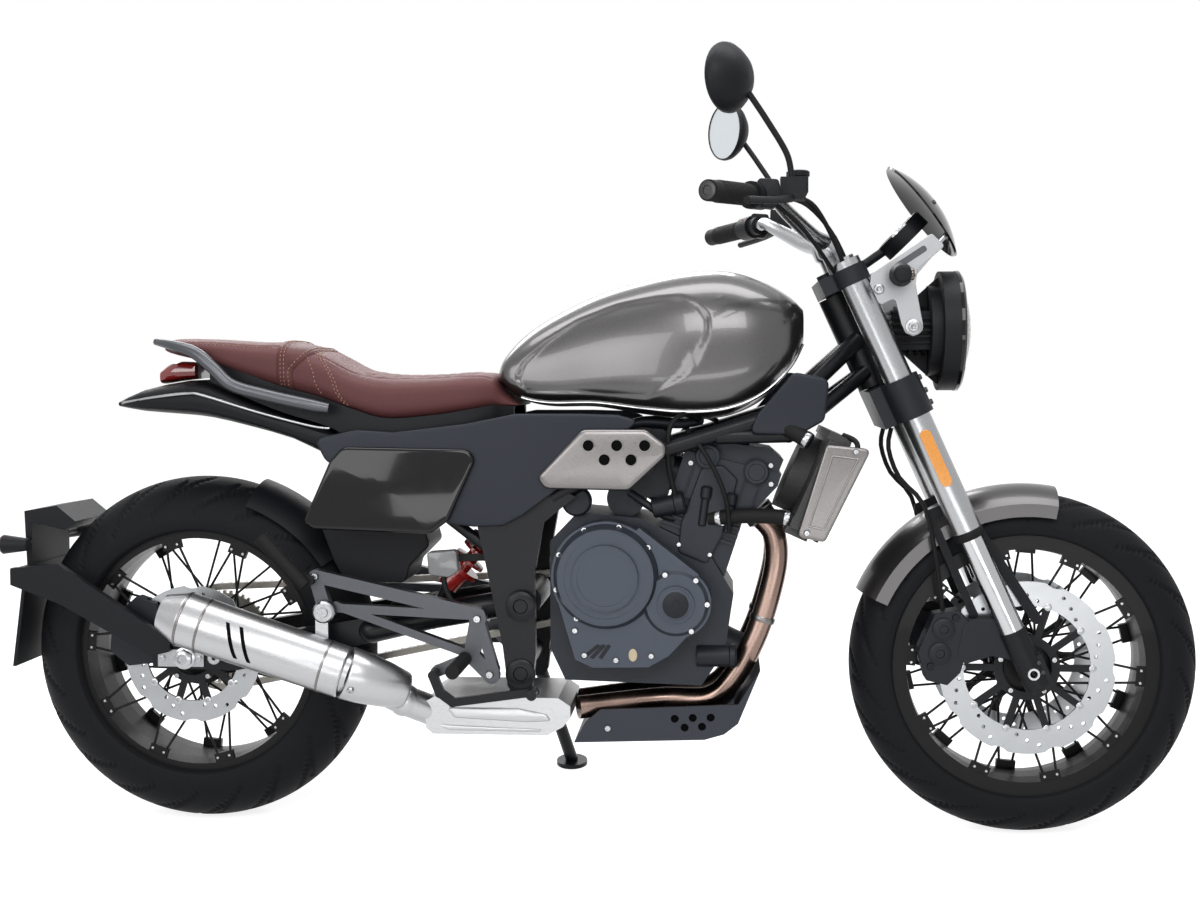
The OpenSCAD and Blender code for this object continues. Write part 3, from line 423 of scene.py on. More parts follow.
def rect(x0, x1, z0, z1):
    return [(x0, z0), (x1, z0), (x1, z1), (x0, z1)]


def anticlockwise(outline):
    o = np.asarray(outline, float)
    area = np.sum(o[:, 0] * np.roll(o[:, 1], -1) - np.roll(o[:, 0], -1) * o[:, 1])
    return o if area > 0 else o[::-1]


def at_y(outline, y):
    """Outline in X and Z set at one Y, or at a Y for each point."""
    return np.stack([outline[:, 0], np.broadcast_to(y, len(outline)), outline[:, 1]], 1)


def plate(outline, y0, y1):
    """Flat outline in X and Z, solid between two Y planes."""
    o = anticlockwise(outline)
    n = len(o)
    f = [tuple(range(n)), tuple(range(2 * n - 1, n - 1, -1))]
    f += [((i + 1) % n, i, n + i, n + (i + 1) % n) for i in range(n)]
    return np.concatenate([at_y(o, y0), at_y(o, y1)]), f


def rounded(outline, r, n=6):
    """Outline with each corner turned into a curve of n points."""
    o = np.asarray(outline, float)
    out = []
    for p, a, b in zip(o, np.roll(o, 1, 0), np.roll(o, -1, 0)):
        u, w = unit(a - p), unit(b - p)
        half = math.acos(max(-1, min(1, float(u @ w)))) / 2
        cut = min(r / max(math.tan(half), 1e-3), 0.45 * np.linalg.norm(a - p), 0.45 * np.linalg.norm(b - p))
        for t in np.linspace(0, 1, n):
            out.append((1 - t) ** 2 * (p + u * cut) + 2 * t * (1 - t) * p + t * t * (p + w * cut))
    return np.array(out)


def crowned(outline, y0, rim, top, r=14, edge=4.0, heart=None):
    """Panel in X and Z on the left side: a wall from y0 to rim, a rolled edge, then a gentle crown up to top."""
    o = anticlockwise(rounded(outline, r))
    t = np.roll(o, -1, 0) - np.roll(o, 1, 0)
    t /= np.linalg.norm(t, axis=1)[:, None]
    inward = np.stack([-t[:, 1], t[:, 0]], 1)
    c = np.array(heart, float) if heart else o.mean(0)
    mid, half = (o.max(0) + o.min(0)) / 2, (o.max(0) - o.min(0)) / 2

    def crown(q):
        return rim + (top - rim) * (1 - 0.5 * np.sum(((q - mid) / half) ** 2, 1))

    rings = [at_y(o, y0)]
    for reach, drop in ((0, 0.9), (0.1, 0.5), (0.32, 0.2), (0.65, 0.05), (1, 0)):
        q = o + inward * edge * reach
        rings.append(at_y(q, crown(q) - edge * drop))
    base = o + inward * edge
    for k in np.linspace(0.95, 0.02, 16):
        q = c + (base - c) * k
        rings.append(at_y(q, crown(q)))
    return skin(rings)


def body_rings(rows, k, square, sides):
    """Squarish rings through rows of place, lowest, widest and highest level, and half width."""
    ang = np.arange(sides) * 2 * math.pi / sides
    c, w = np.cos(ang), np.sin(ang)
    cc, ww = np.sign(c) * np.abs(c) ** square, np.sign(w) * np.abs(w) ** square
    rings = []
    for x, low, wide, high, half in spline(rows, k):
        z = wide + np.where(ww > 0, ww * (high - wide), ww * (wide - low))
        rings.append(np.stack([np.full(sides, x), half * cc, z], 1))
    return rings


# ---- tyres with cut tread: each lane of grooves has its start, end, bend, offset and half width
TREAD_LANES = [(0.10, 0.90, 0.34, 0.0, 4.6), (0.30, 1.06, 0.26, 0.5, 4.2)]
TREAD_DEPTH, TREAD_COUNT, TREAD_EDGE = 4.6, 20, 1.25
TYRE_STEPS, TYRE_ACROSS, TYRE_WRAP, BEAD_DROP = 720, 44, 1.74, 22
RIDGE_HEIGHT, RIDGE_FROM, RIDGE_TO = 0.9, 1.34, 1.6


def tread_tyre(name, axle, r, w, body, node_name):
    crown = w / 2
    centre = r - crown
    step = 2 * math.pi / TREAD_COUNT
    round_, p = np.meshgrid(np.arange(TYRE_STEPS) * 2 * math.pi / TYRE_STEPS,
                            np.linspace(-TYRE_WRAP, TYRE_WRAP, TYRE_ACROSS), indexing="ij")
    out = np.abs(p) / TREAD_EDGE
    depth = np.zeros_like(p)
    for lo, hi, bend, off, wide in TREAD_LANES:
        line = bend * ramp(out, lo, hi) ** 1.4
        da = (round_ - line - np.sign(p) * step * 0.25 - off * step + step / 2) % step - step / 2
        cut = np.clip(1 - (np.abs(da) * r / wide) ** 2, 0, 1) * ((out > lo) & (out < hi))
        depth = np.maximum(depth, cut * TREAD_DEPTH)
    ridge = RIDGE_HEIGHT * (np.cos(p * 46) > 0.6) * ((np.abs(p) > RIDGE_FROM) & (np.abs(p) < RIDGE_TO))
    rad = crown - depth + ridge
    reach = centre + rad * np.cos(p)
    v = np.stack([axle[0] + reach * np.cos(round_), rad * np.sin(p), axle[2] + reach * np.sin(round_)], -1)
    bead = hoop(np.array(axle), (1, 0, 0), UP, centre - BEAD_DROP, TYRE_STEPS)
    rings = [np.vstack(pair) for pair in zip(v, bead)]
    return piece(name, skin(rings, closed=True), "tyre", body, (node_name,), sharp=0)


tread_tyre("tyre_front", FRONT_AXLE, FRONT_R, FRONT_W, "front_wheel", "front_tyre")
tread_tyre("tyre_rear", REAR_AXLE, REAR_R, REAR_W, "rear_wheel", "rear_tyre")

# ---- wheels: nipples on the lugs, buttons and bolts on the discs
LUGS, LUG_PHASE, NIPPLE_AT, NIPPLE_SPREAD, CARRIER_R = 10, 0.13, 196, 3.2, 48
NIPPLE = [(3.2, 0), (3.2, 2.2), (2.2, 3.4), (0, 3.4)]
BUTTON = [(6.5, 0), (6.5, 1.2), (5.2, 1.8), (3, 1.8), (2.6, 0.8), (0, 0.8)]


def wheel_trim(tag, axle, half, body, disc_sides, disc_r):
    x, z = axle[0], axle[2]
    nipples, buttons = [], []
    for s in (-1, 1):
        turn = [-(i + (s + 1) / 4 + LUG_PHASE) * 360 / LUGS - c * NIPPLE_SPREAD for i in range(LUGS) for c in (-1, 1)]
        nipples += [turned(p, np.add(p, (0, s, 0)), NIPPLE, 10) for p in on_circle(x, z, NIPPLE_AT, s * half, turn)]
    piece("nipples_" + tag, merge(*nipples), "bolt", body, sharp=40)
    for y, s in disc_sides:
        buttons += [turned(p, np.add(p, (0, s, 0)), BUTTON, 16) for p in on_circle(x, z, disc_r, y, range(0, 360, 36))]
        buttons.append(bolt_set(on_circle(x, z, CARRIER_R, y, range(18, 360, 72)), (0, s, 0), 5, 4))
    piece("disc_buttons_" + tag, merge(*buttons), "bolt", body, sharp=40)


wheel_trim("front", FRONT_AXLE, 48.6, "front_wheel", [(-64.6, -1), (64.6, 1)], 111)
wheel_trim("rear", REAR_AXLE, 63.6, "rear_wheel", [(-92.6, -1)], 87)

# ---- tank: fine surface with a pressed knee panel and a bright strip
TANK_SQUARE = 0.72
TANK = [[548, 800, 806, 816, 60], [560, 786, 806, 842, 92], [590, 763, 802, 876, 104], [640, 752, 800, 910, 112],
        [720, 751, 806, 948, 122], [800, 738, 814, 972, 138], [880, 729, 822, 987, 148], [950, 735, 830, 988, 148],
        [1010, 763, 842, 970, 136], [1056, 812, 866, 944, 108], [1080, 858, 888, 922, 64]]
KNEE = np.array([(600, 778), (685, 777), (748, 772), (814, 768), (872, 806), (903, 849), (917, 880), (915, 907),
                 (899, 926), (872, 938), (833, 938), (764, 927), (693, 900), (638, 865), (599, 830), (585, 803)], float)
KNEE_DEPTH, KNEE_BLEND = 5.0, 5
STRIP_DIA, STRIP_LIFT, STRIP_ANGLE, STRIP_FROM, STRIP_TO = 6.5, 1.0, math.radians(50), 590, 1079


def outline_depth(x, z, poly):
    """Signed distance into a closed outline, in mm, positive inside."""
    p = np.stack([x, z], 1)
    best = np.full(len(p), 1e9)
    inside = np.zeros(len(p), bool)
    for a, b in zip(poly, np.roll(poly, -1, 0)):
        ab = b - a
        t = np.clip(((p - a) @ ab) / (ab @ ab), 0, 1)
        best = np.minimum(best, np.linalg.norm(p - a - t[:, None] * ab, axis=1))
        cross = ((a[1] > p[:, 1]) != (b[1] > p[:, 1]))
        with np.errstate(divide="ignore", invalid="ignore"):
            inside ^= cross & (p[:, 0] < (b[0] - a[0]) * (p[:, 1] - a[1]) / (b[1] - a[1]) + a[0])
    return np.where(inside, best, -best)


v, f = skin(body_rings(TANK, 16, TANK_SQUARE, 128))
press = ramp(outline_depth(v[:, 0], v[:, 2], KNEE), -KNEE_BLEND, KNEE_BLEND)
flank = ramp(np.abs(v[:, 1]), 40, 70)
v[:, 1] -= np.sign(v[:, 1]) * press ** 2 * (3 - 2 * press) * KNEE_DEPTH * flank
piece("tank_shell", (v, f), "paint", replaces=("fuel_tank",), sharp=0)
strip_out, strip_down = math.cos(STRIP_ANGLE) ** TANK_SQUARE, math.sin(STRIP_ANGLE) ** TANK_SQUARE
strip = [(x, (half + STRIP_LIFT) * strip_out, wide - strip_down * (wide - low + STRIP_LIFT))
         for x, low, wide, high, half in spline(TANK, 8) if STRIP_FROM <= x <= STRIP_TO]
piece("tank_strip", both(tube(strip, STRIP_DIA, sides=10, k=3)), "chrome", sharp=0)

# ---- seat: stepped cushion with quilted rider's part, strap, stitching and base
SEAT_SQUARE = 0.62
SEAT = [[-46, 850, 856, 866, 78], [-30, 844, 856, 874, 92], [40, 826, 848, 873, 106], [120, 795, 832, 868, 114],
        [180, 775, 820, 866, 118], [240, 759, 804, 848, 121], [300, 738, 778, 818, 124], [360, 722, 766, 808, 128],
        [440, 727, 770, 808, 128], [505, 737, 776, 812, 122], [540, 744, 778, 808, 112], [560, 749, 762, 780, 100],
        [586, 754, 756, 759, 90]]
SEAT_ROWS, SEAT_COARSE = spline(SEAT, 40), spline(SEAT, 20)
QUILT_PITCH, QUILT_SLANT, QUILT_HEIGHT, QUILT_SINK = 46, 1.15, 4.2, 2.6
SEAM_Y, SEAM_WIDTH, SEAM_DEPTH = 94, 2.2, 2.0
STRAP_BACK, STRAP_LOW, STRAP_TOP, STRAP_LIFT = 168, 194, 230, 3.0
STITCH_PITCH, STITCH_LENGTH, STITCH_R = 7.5, 4.6, 0.8
STITCH = [(0.1, 0), (STITCH_R, 0.6), (STITCH_R, STITCH_LENGTH - 0.6), (0.1, STITCH_LENGTH)]
SEAM_CURVES = [(226, 62, 0), (232, 62, 0), (204, 44, 0.16)]     # crest, reach to the side, share left out at the crest

rings = body_rings(SEAT, 20, SEAT_SQUARE, 144)
v, f = skin(rings)
upper = np.concatenate([r[:, 2] > (r[:, 2].max() + r[:, 2].min()) / 2 for r in rings])
x, y = v[:, 0], v[:, 1]
rider = ramp(x, 300, 316) * ramp(x, 520, 504) * ramp(np.abs(y), 92, 78) * upper
waves = [np.abs(np.sin((x + slant * y) / QUILT_PITCH * math.pi)) for slant in (QUILT_SLANT, -QUILT_SLANT)]
seam = np.exp(-((np.abs(y) - SEAM_Y) / SEAM_WIDTH) ** 2) * ramp(x, -10, 10) * ramp(x, 545, 535) * upper
v[:, 2] += rider * (np.minimum(*waves) ** 0.55 * QUILT_HEIGHT - QUILT_SINK) - seam * SEAM_DEPTH
seat = piece("seat_cushion", (v, f), "leather", replaces=("seat",), sharp=0)


def seat_height(x, y):
    """Height of the seat's upper skin at a place."""
    r = SEAT_COARSE[np.argmin(np.abs(SEAT_COARSE[:, 0] - x))]
    c = min(abs(y) / r[4], 1) ** (1 / SEAT_SQUARE)
    return r[2] + (1 - c * c) ** (SEAT_SQUARE / 2) * (r[3] - r[2])


def seat_skin(x, deg, lift=0.0):
    """Points on the seat's skin at places along it and section angles (90 is the crest)."""
    low, wide, high, half = (np.interp(x, SEAT_ROWS[:, 0], SEAT_ROWS[:, i]) for i in (1, 2, 3, 4))
    c, w = np.cos(np.radians(deg)), np.sin(np.radians(deg))
    cc, ww = np.sign(c) * np.abs(c) ** SEAT_SQUARE, np.sign(w) * np.abs(w) ** SEAT_SQUARE
    z = wide + np.where(ww > 0, ww * (high - wide + lift), ww * (wide - low + lift))
    return np.stack([np.broadcast_to(x, np.shape(deg)), (half + lift) * cc, z], -1)


def stitch_run(points):
    """Single stitches along a line."""
    p = np.array(points, float)
    dist = np.concatenate([[0], np.cumsum(np.linalg.norm(np.diff(p, axis=0), axis=1))])
    starts = np.arange(0, dist[-1] - STITCH_LENGTH, STITCH_PITCH)
    ends = [np.stack([np.interp(starts + d, dist, p[:, i]) for i in range(3)], 1) for d in (0, STITCH_LENGTH)]
    return [turned(a, b, STITCH, 6) for a, b in zip(*ends)]


around = np.linspace(-30, 210, 121)
strap_front = STRAP_LOW + (STRAP_TOP - STRAP_LOW) * np.clip(np.sin(np.radians(around)), 0, 1) ** SEAT_SQUARE
stitches = []
for line in (STRAP_BACK + 6.0, STRAP_BACK + 12.0, strap_front - 6):
    stitches += stitch_run(seat_skin(line, around, STRAP_LIFT + 0.4))
for crest, reach, left_out in SEAM_CURVES:
    for half_run in (around[:61], around[60:]):
        fall = (1 - np.sin(np.radians(half_run))) / 1.5
        sewn = fall >= left_out
        stitches += stitch_run(seat_skin(crest + reach * fall[sewn], half_run[sewn], 0.6))
for y in (-98, 98):
    stitches += stitch_run([(x, y, seat_height(x, y) + 0.5) for x in np.arange(0, STRAP_BACK - 8, 4)])
piece("seat_stitching", merge(*stitches), "thread", sharp=0)
band = [seat_skin(STRAP_BACK - 2.0, around, 0.2), seat_skin(STRAP_BACK, around, STRAP_LIFT),
        seat_skin(strap_front, around, STRAP_LIFT), seat_skin(strap_front + 2, around, 0.2)]
n = len(around)
cells = [(j * n + i, j * n + i + 1, (j + 1) * n + i + 1, (j + 1) * n + i) for j in range(3) for i in range(n - 1)]
piece("seat_strap", (np.concatenate(band), cells), "strap", sharp=0)
BASE_FROM, BASE_TO, BASE_WALL, BASE_LAP = 40, 580, 18, 12
base = []
for x, low, wide, high, half in spline(SEAT, 8):
    if BASE_FROM <= x <= BASE_TO:
        bottom = low - np.interp(x, [BASE_FROM, 200, 285, 345, BASE_TO], [28, 34, 36, 18, 17])
        out = half - np.interp(x, [240, 300], [11, 5])
        base.append([(x, out - BASE_WALL, bottom), (x, out, bottom), (x, out, low + BASE_LAP),
                     (x, out - BASE_WALL, low + BASE_LAP)])
piece("seat_base", both(skin(base)), "plastic")

# ---- bent tubes with finer skins than the CAD
BAR = [(926, 400, 1086, 22), (962, 335, 1089, 22), (998, 270, 1092, 22), (1013, 243, 1093.2, 22),
       (1022.4, 226, 1094, 22), (1050, 165, 1073, 25), (1094, 90, 1042, 28), (1121, 40, 1034, 28.6)]
RISER_X, RISER_Y = -11, 46
RISER = [(17, 0), (17, 30), (22, 36), (22, 58), (19, 64), (0, 64)]
RAIL = [(-58, 90, 868, 12), (-20, 113, 861, 18), (24, 127, 848, 22), (58, 133, 822, 22), (92, 135, 792, 22),
        (150, 137, 775, 22), (226, 137, 758, 22), (262, 134, 751, 18)]
PIPE_DIA = 40
PIPE = [(1006, 50, 560), (1030, 52, 530), (1034, 54, 478), (1016, 56, 400), (992, 58, 335), (958, 56, 274),
        (915, 50, 238), (830, 44, 234)]
PIPE_END_X, PIPE_END_Y, PIPE_END_SPREAD, PIPE_END_Z = 690, -58, 34, 227
bar = tube([(x, -y, z, d) for x, y, z, d in BAR] + BAR[::-1], ref=UP, sides=28)
piece("bar_tube", bar, "alloy", "steering", ("handlebar",), sharp=40)
riser = turned(fork_point(RISER_X, RISER_Y, 756.3), fork_point(RISER_X, RISER_Y, 802), RISER)
piece("bar_risers", both(riser), "alloy", "steering", sharp=40)
pipes = [tube([(x, s * y, z) for x, y, z in PIPE] + [(PIPE_END_X, PIPE_END_Y + s * PIPE_END_SPREAD, PIPE_END_Z)],
              PIPE_DIA, sides=28) for s in (-1, 1)]
piece("header_pipes", merge(*pipes), "header", replaces=("exhaust_headers",), sharp=50)
clamps = [turned((1006, 50, 562), (1022, 51, 541), [(27, -6), (27, 6), (23, 9), (21, 9)]),
          turned((1012, 56, 386), (1006, 56.5, 366), [(21.5, 0), (22.4, 2), (22.4, 8), (21.5, 10)])]
piece("header_clamps", both(*clamps), "steel", sharp=40)
piece("rail_tubes", both(tube(RAIL)), "rail", replaces=("grab_rails",), sharp=50)

# ---- crowned body panels with rounded corners
SIDE = [(238, 700), (313, 714), (376, 710), (498, 724), (590, 742), (700, 742), (764, 740), (800, 730), (700, 645),
        (645, 601), (599, 567), (566, 550), (515, 548), (469, 554), (258, 661)]
DUCT = [(1000, 742), (1060, 812), (1120, 800), (1112, 730), (1070, 706), (985, 708)]
NUMBER = [(292, 686), (508, 682), (521, 664), (474, 560), (444, 537), (238, 544), (221, 556), (269, 661)]
INTAKE = [(704, 716), (812, 716), (846, 690), (846, 672), (782, 612), (640, 615), (626, 634)]
RADIATOR = [(1064, 538), (1110, 529), (1186, 684), (1112, 692)]
RADIATOR_BEAD = [(1084, 556), (1108, 551), (1164, 668), (1122, 673)]
RADIATOR_TOP, BEAD_R = 188, 1.4
INTAKE_HOLES = [(715, 689), (763, 689), (810, 689), (742, 665), (787, 665)]
TAIL_LINE = [(-126, 78, 760), (-60, 104, 770), (6, 117, 777), (36, 122, 774), (135, 128, 745), (224, 128, 722),
             (262, 126, 716)]
panels = both(crowned(SIDE, 135, 144.5, 149, r=26, heart=(520, 655)), crowned(DUCT, 134, 138.5, 142, r=16))
piece("panel_shells", panels, "panel", replaces=("side_panels",))
piece("number_shells", both(crowned(NUMBER, 149.5, 159, 165.5, r=22, edge=6)), "gloss", replaces=("number_panels",))
covers = both(crowned(INTAKE, 149.5, 160, 167.5, r=18, edge=7), crowned(RADIATOR, 168.4, 184, RADIATOR_TOP, r=9))
piece("cover_shells", covers, "steel", replaces=("cover_plates",))
# The intake cover's holes are not cut: flat near-black discs, ringed by lips, paint the shade inside them
hole_shade_discs = [stud((x, 166.6, z), [(9.2, 0), (9.2, 0.9), (0, 0.9)], 28) for x, z in INTAKE_HOLES]
lips = [stud((x, 166.4, z), [(10.8, 0), (10.4, 1.5), (9.4, 1.6), (9.0, 0.6)], 28) for x, z in INTAKE_HOLES]
piece("intake_hole_shade_discs", both(*hole_shade_discs), "hole_shade")
piece("intake_lips", both(*lips), "steel")
corners = [np.array((x, RADIATOR_TOP, z)) for x, z in RADIATOR_BEAD]
beads = [turned(a, b, [(BEAD_R, 0), (BEAD_R, np.linalg.norm(b - a))], 8)
         for a, b in zip(corners, corners[1:] + corners[:1])]
piece("radiator_cover_beads", both(*beads), "steel")
piece("tail_line", both(tube(TAIL_LINE, 5, sides=8, k=6)), "alloy", sharp=0)


# ---- engine: cam covers, chain tunnels, hoses, intake, inner guard and brake reservoir
def bank_outline(points):
    """Outline in the cylinder frame to an upright outline in X and Z."""
    return [bank_point(x, 0, z)[::2] for x, z in points]


CAM_CAP = [(22, 0), (22, 3), (19, 5), (15, 5), (14, 3), (0, 3)]
TUNNEL = [(-24, 78), (30, 74), (40, 128), (36, 230), (4, 246), (-30, 230), (-34, 128)]
HEAD_BOLTS = [(-50, 97.2, 232), (92, 97.2, 240), (-44, 89, 270), (82, 89, 270)]
TUNNEL_BOLTS = [(-26, 103, 92), (30, 103, 92), (34, 103, 150)]
HOSES = [  # diameter, way up of the sections, sides, path
    (26, LEFT, 18, [(918, -98, 560), (972, -112, 566), (1030, -120, 566), (1062, -124, 560)]),
    (28, UP, 18, [(960, -60, 720), (1010, -92, 730), (1050, -128, 716), (1088, -140, 694)]),
    (8, LEFT, 10, [(880, -104, 712), (900, -128, 690), (930, -132, 640), (948, -128, 590), (952, -112, 540)]),
    (9, LEFT, 10, [(900, -60, 726), (880, -104, 742), (852, -126, 720), (848, -124, 660), (860, -112, 600)]),
    (9, LEFT, 10, [(1142, -150, 706), (1164, -172, 690), (1150, -176, 640), (1122, -168, 588), (1096, -160, 528)]),
    (9, LEFT, 10, [(930, 60, 724), (900, 110, 728), (860, 124, 690), (850, 118, 620)]),
]
CLIPS = [((930, -100, 561), (944, -103, 562)), ((1046, -122, 563), (1058, -123.5, 561)),
         ((1078, -138, 700), (1086, -140, 695))]
CLIP = [(14.6, 0), (15, 1), (15, 8), (14.6, 9)]
CONNECTOR = [(13, 0), (17, 2), (17, 38), (20, 40), (20, 54), (16, 58), (0, 58)]
OIL_FILTER = [(17, 0), (19, 3), (19, 56), (21, 58), (21, 66), (17, 70), (0, 70)]
THROTTLE = [(31, 0), (31, 20), (27, 24), (27, 34), (35, 38), (35, 84), (29, 88), (29, 100), (38, 112), (40, 156)]
THROTTLE_PLATE = [(776, 598), (846, 594), (858, 660), (842, 712), (786, 716), (768, 650)]
COIL = [(5, 0), (7, 2), (7, 46), (10, 50), (10, 66), (6, 70), (0, 70)]
COILS = [((905, 106, 548), (915, 106, 620)), ((949, 106, 536), (957, 106, 602))]
RIB_HALF, RIB_LOW, RIB_HIGH = 1.6, 178, 238
GUARD = [(223, 552), (300, 566), (406, 566), (424, 507), (388, 471), (380, 440), (272, 441), (250, 478)]
GUARD_HALF = 66
RESERVOIR = [(430, 502), (482, 506), (486, 470), (470, 458), (434, 462)]
piece("cam_covers", both(*[stud(bank_point(x, 102, 252), CAM_CAP, 36) for x in (-26, 62)]), "engine_cast")
piece("chain_tunnels", both(crowned(bank_outline(TUNNEL), 96, 103, 106, r=10)), "engine_cast")
head_bolts = both(bolt_set([bank_point(*p) for p in HEAD_BOLTS], LEFT, 5, 5),
                  bolt_set([bank_point(*p) for p in TUNNEL_BOLTS], LEFT, 4.2, 4))
piece("head_bolts", head_bolts, "bolt", sharp=40)
piece("engine_hoses", merge(*[tube(path, dia, ref, sides) for dia, ref, sides, path in HOSES]), "rubber", sharp=50)
piece("hose_clips", merge(*[turned(a, b, CLIP, 28) for a, b in CLIPS]), "bolt", sharp=40)
units = [turned((820, -104, 577), (878, -104, 590), CONNECTOR),
         turned((896, -98, 322), (968, -98, 322), OIL_FILTER, 36),
         mirror_y(stud((690, 100, 590), [(26, 0), (26, 14), (22, 18), (0, 18)]))]
piece("engine_units", merge(*units), "engine_black", sharp=35)
intake = both(turned((868, 48, 634), (718, 48, 670), THROTTLE, 36), plate(rounded(THROTTLE_PLATE, 10), 60, 86),
              stud((806, 86, 650), [(20, 0), (20, 8), (16, 10), (6, 10), (5, 7), (0, 7)]),
              tube([(740, 60, 706), (800, 66, 724), (868, 64, 722), (905, 58, 728)], 16, sides=14),
              tube([(780, 84, 604), (812, 92, 582), (838, 94, 566), (858, 90, 560)], 14, sides=14))
piece("throttle_bodies", intake, "engine_black", sharp=35)
ribs = [plate(bank_outline(rect(x - RIB_HALF, x + RIB_HALF, RIB_LOW, RIB_HIGH)), 96, 100.5) for x in (-44, 48, 74)]
ribs += [turned(foot, head, COIL, 20) for foot, head in COILS]
piece("head_ribs", both(*ribs), "engine_black", sharp=35)
piece("inner_guard", plate(rounded(GUARD, 12), -GUARD_HALF, GUARD_HALF), "plastic", bevel=3.0)
piece("brake_reservoir", mirror_y(crowned(RESERVOIR, 106, 128, 132, r=7, edge=3)), "clear")
reservoir_hose = merge(plate([(470, 484), (536, 486), (536, 498), (470, 498)], -112, -108),
                       tube([(458, -118, 464), (462, -124, 440), (478, -134, 414), (500, -142, 396)], 10, sides=12))
piece("reservoir_hose", reservoir_hose, "rubber", sharp=40)

# ---- rear axle blocks and drive chain links
BLOCK_BACK, BLOCK_FRONT, BLOCK_HALF, BLOCK_IN, BLOCK_OUT = -48, 34, 15, 130.2, 133.5
AXLE_NUT = [(19, 0), (19, 3), (15, 4), (15, 12), (11, 14), (8, 14), (7, 8), (0, 8)]
blocks = both(plate(rect(BLOCK_BACK, BLOCK_FRONT, REAR_Z - BLOCK_HALF, REAR_Z + BLOCK_HALF), BLOCK_IN, BLOCK_OUT),
              bolt_set([(x, BLOCK_OUT, REAR_Z) for x in (BLOCK_BACK + 8, BLOCK_FRONT - 8)], LEFT, 5, 4, True),
              stud((0, BLOCK_OUT, REAR_Z), AXLE_NUT, 36))
piece("axle_blocks", blocks, "alloy", sharp=35)
SPROCKET_AT, SPROCKET_R, REAR_SPROCKET_R, CHAIN_LIFT, CHAIN_PITCH = (690, 402), 34, 90, 6, 15.9
LINK_R, LINK_WAIST = 6.6, 4.6
LINK_LAYERS = [(100.9, 102.4), (99.2, 100.9)]           # outer and inner plates take turns
PIN = [(2.6, 0), (2.6, 4), (1.8, 4.6), (0, 4.6)]


def belt(p1, p2, r1, r2, pitch):
    """Points at one pitch along a loop round two circles in X and Z."""
    p1, p2 = np.array(p1, float), np.array(p2, float)
    tilt = math.atan2(p1[1] - p2[1], p1[0] - p2[0])
    open_ = math.acos((r2 - r1) / np.linalg.norm(p1 - p2))
    pts = [c + r * np.array((math.cos(a), math.sin(a)))
           for c, r, sweep in ((p1, r1, np.linspace(tilt - open_, tilt + open_, 40)),
                               (p2, r2, np.linspace(tilt + open_, tilt + 2 * math.pi - open_, 120))) for a in sweep]
    pts = np.array(pts + pts[:1])
    run = np.concatenate([[0], np.cumsum(np.linalg.norm(np.diff(pts, axis=0), axis=1))])
    at = np.linspace(0, run[-1], int(round(run[-1] / pitch / 2)) * 2, endpoint=False)
    return np.stack([np.interp(at, run, pts[:, 0]), np.interp(at, run, pts[:, 1])], 1)


joints_at = belt(SPROCKET_AT, (0, REAR_Z), SPROCKET_R + CHAIN_LIFT, REAR_SPROCKET_R + CHAIN_LIFT, CHAIN_PITCH)
links, pins = [], []
for i, a in enumerate(joints_at):
    b = joints_at[(i + 1) % len(joints_at)]
    u = unit(b - a)
    w = np.array((-u[1], u[0]))
    outline = []
    for c, s in ((b, 1), (a, -1)):
        outline += [c + LINK_R * s * (math.cos(t) * u + math.sin(t) * w) for t in np.radians(np.linspace(-90, 90, 7))]
        outline.append((a + b) / 2 + w * LINK_WAIST * s)
    links.append(plate(outline, *LINK_LAYERS[i % 2]))
    pins.append(stud((a[0], 99, a[1]), PIN, 8))
piece("chain_links", merge(*links, *pins), "chain", sharp=40)

# ---- cockpit: fluid cup, switches, cables, grips
FLUID_CUP = [(14, 0), (17, 6), (17, 30), (19, 31), (19, 38), (16, 40), (0, 40)]
SWITCH = [(992, 1074), (1020, 1070), (1034, 1088), (1028, 1116), (998, 1118), (986, 1100)]
CABLES = [  # diameter and path
    (8, [(1066, -214, 1094), (1094, -190, 1078), (1136, -128, 1010), (1176, -80, 900), (1214, -62, 790),
         (1231, -58, 724)]),
    (7, [(1020, -262, 1082), (1064, -214, 1052), (1112, -140, 1000), (1150, -60, 950), (1158, -28, 912)]),
    (7, [(1024, -258, 1092), (1076, -206, 1084), (1128, -132, 1036), (1166, -50, 962), (1164, -18, 912)]),
    (8, [(1066, 236, 1096), (1100, 190, 1080), (1140, 120, 1010), (1164, 50, 950), (1166, 22, 912)]),
    (7, [(1040, 250, 1090), (1088, 196, 1064), (1136, 110, 990), (1160, 36, 940)]),
]
GRIP_IN, GRIP_OUT, GRIP_R = np.array((983, 297, 1090.8)), np.array((918, 414, 1085.4)), 16.5
GRIP_RIBS, RIB_FROM, RIB_PITCH, RIB_RISE, RIB_SINK = 15, 17, 6, 1.1, 0.2


def lamp_disc(x, profile, segs):
    """Lathe shape on the headlamp's axis, facing forward."""
    return turned((x, 0, LAMP_Z), (x + 1, 0, LAMP_Z), profile, segs)


housings = merge(turned((1062, -214, 1098), (1062, -214, 1138), FLUID_CUP),
                 both(crowned(SWITCH, 262, 290, 294, r=6, edge=3)))
piece("switch_housings", housings, "plastic", "steering", sharp=35)
button = turned((984, 276, 1104), (978, 276, 1105), [(6, 0), (6, 5), (4.6, 7), (0, 7)], 20)
piece("switch_buttons", both(button), "red", "steering", sharp=35)
piece("control_cables", merge(*[tube(path, dia, UP, 10) for dia, path in CABLES]), "rubber", "steering", sharp=50)
clamp_bolts = bolt_set([fork_point(RISER_X + dx, RISER_Y, 820) for dx in (-14, 14)], FORK_UP, 4, 5)
piece("clamp_bolts", both(clamp_bolts), "bolt", "steering", sharp=40)
lamp_ring = lamp_disc(1349, [(99.6, 0), (100.4, 3.5), (99.6, 5), (97.6, 4.6), (97.2, 1)], 96)
piece("lamp_ring", lamp_ring, "chrome", "steering")
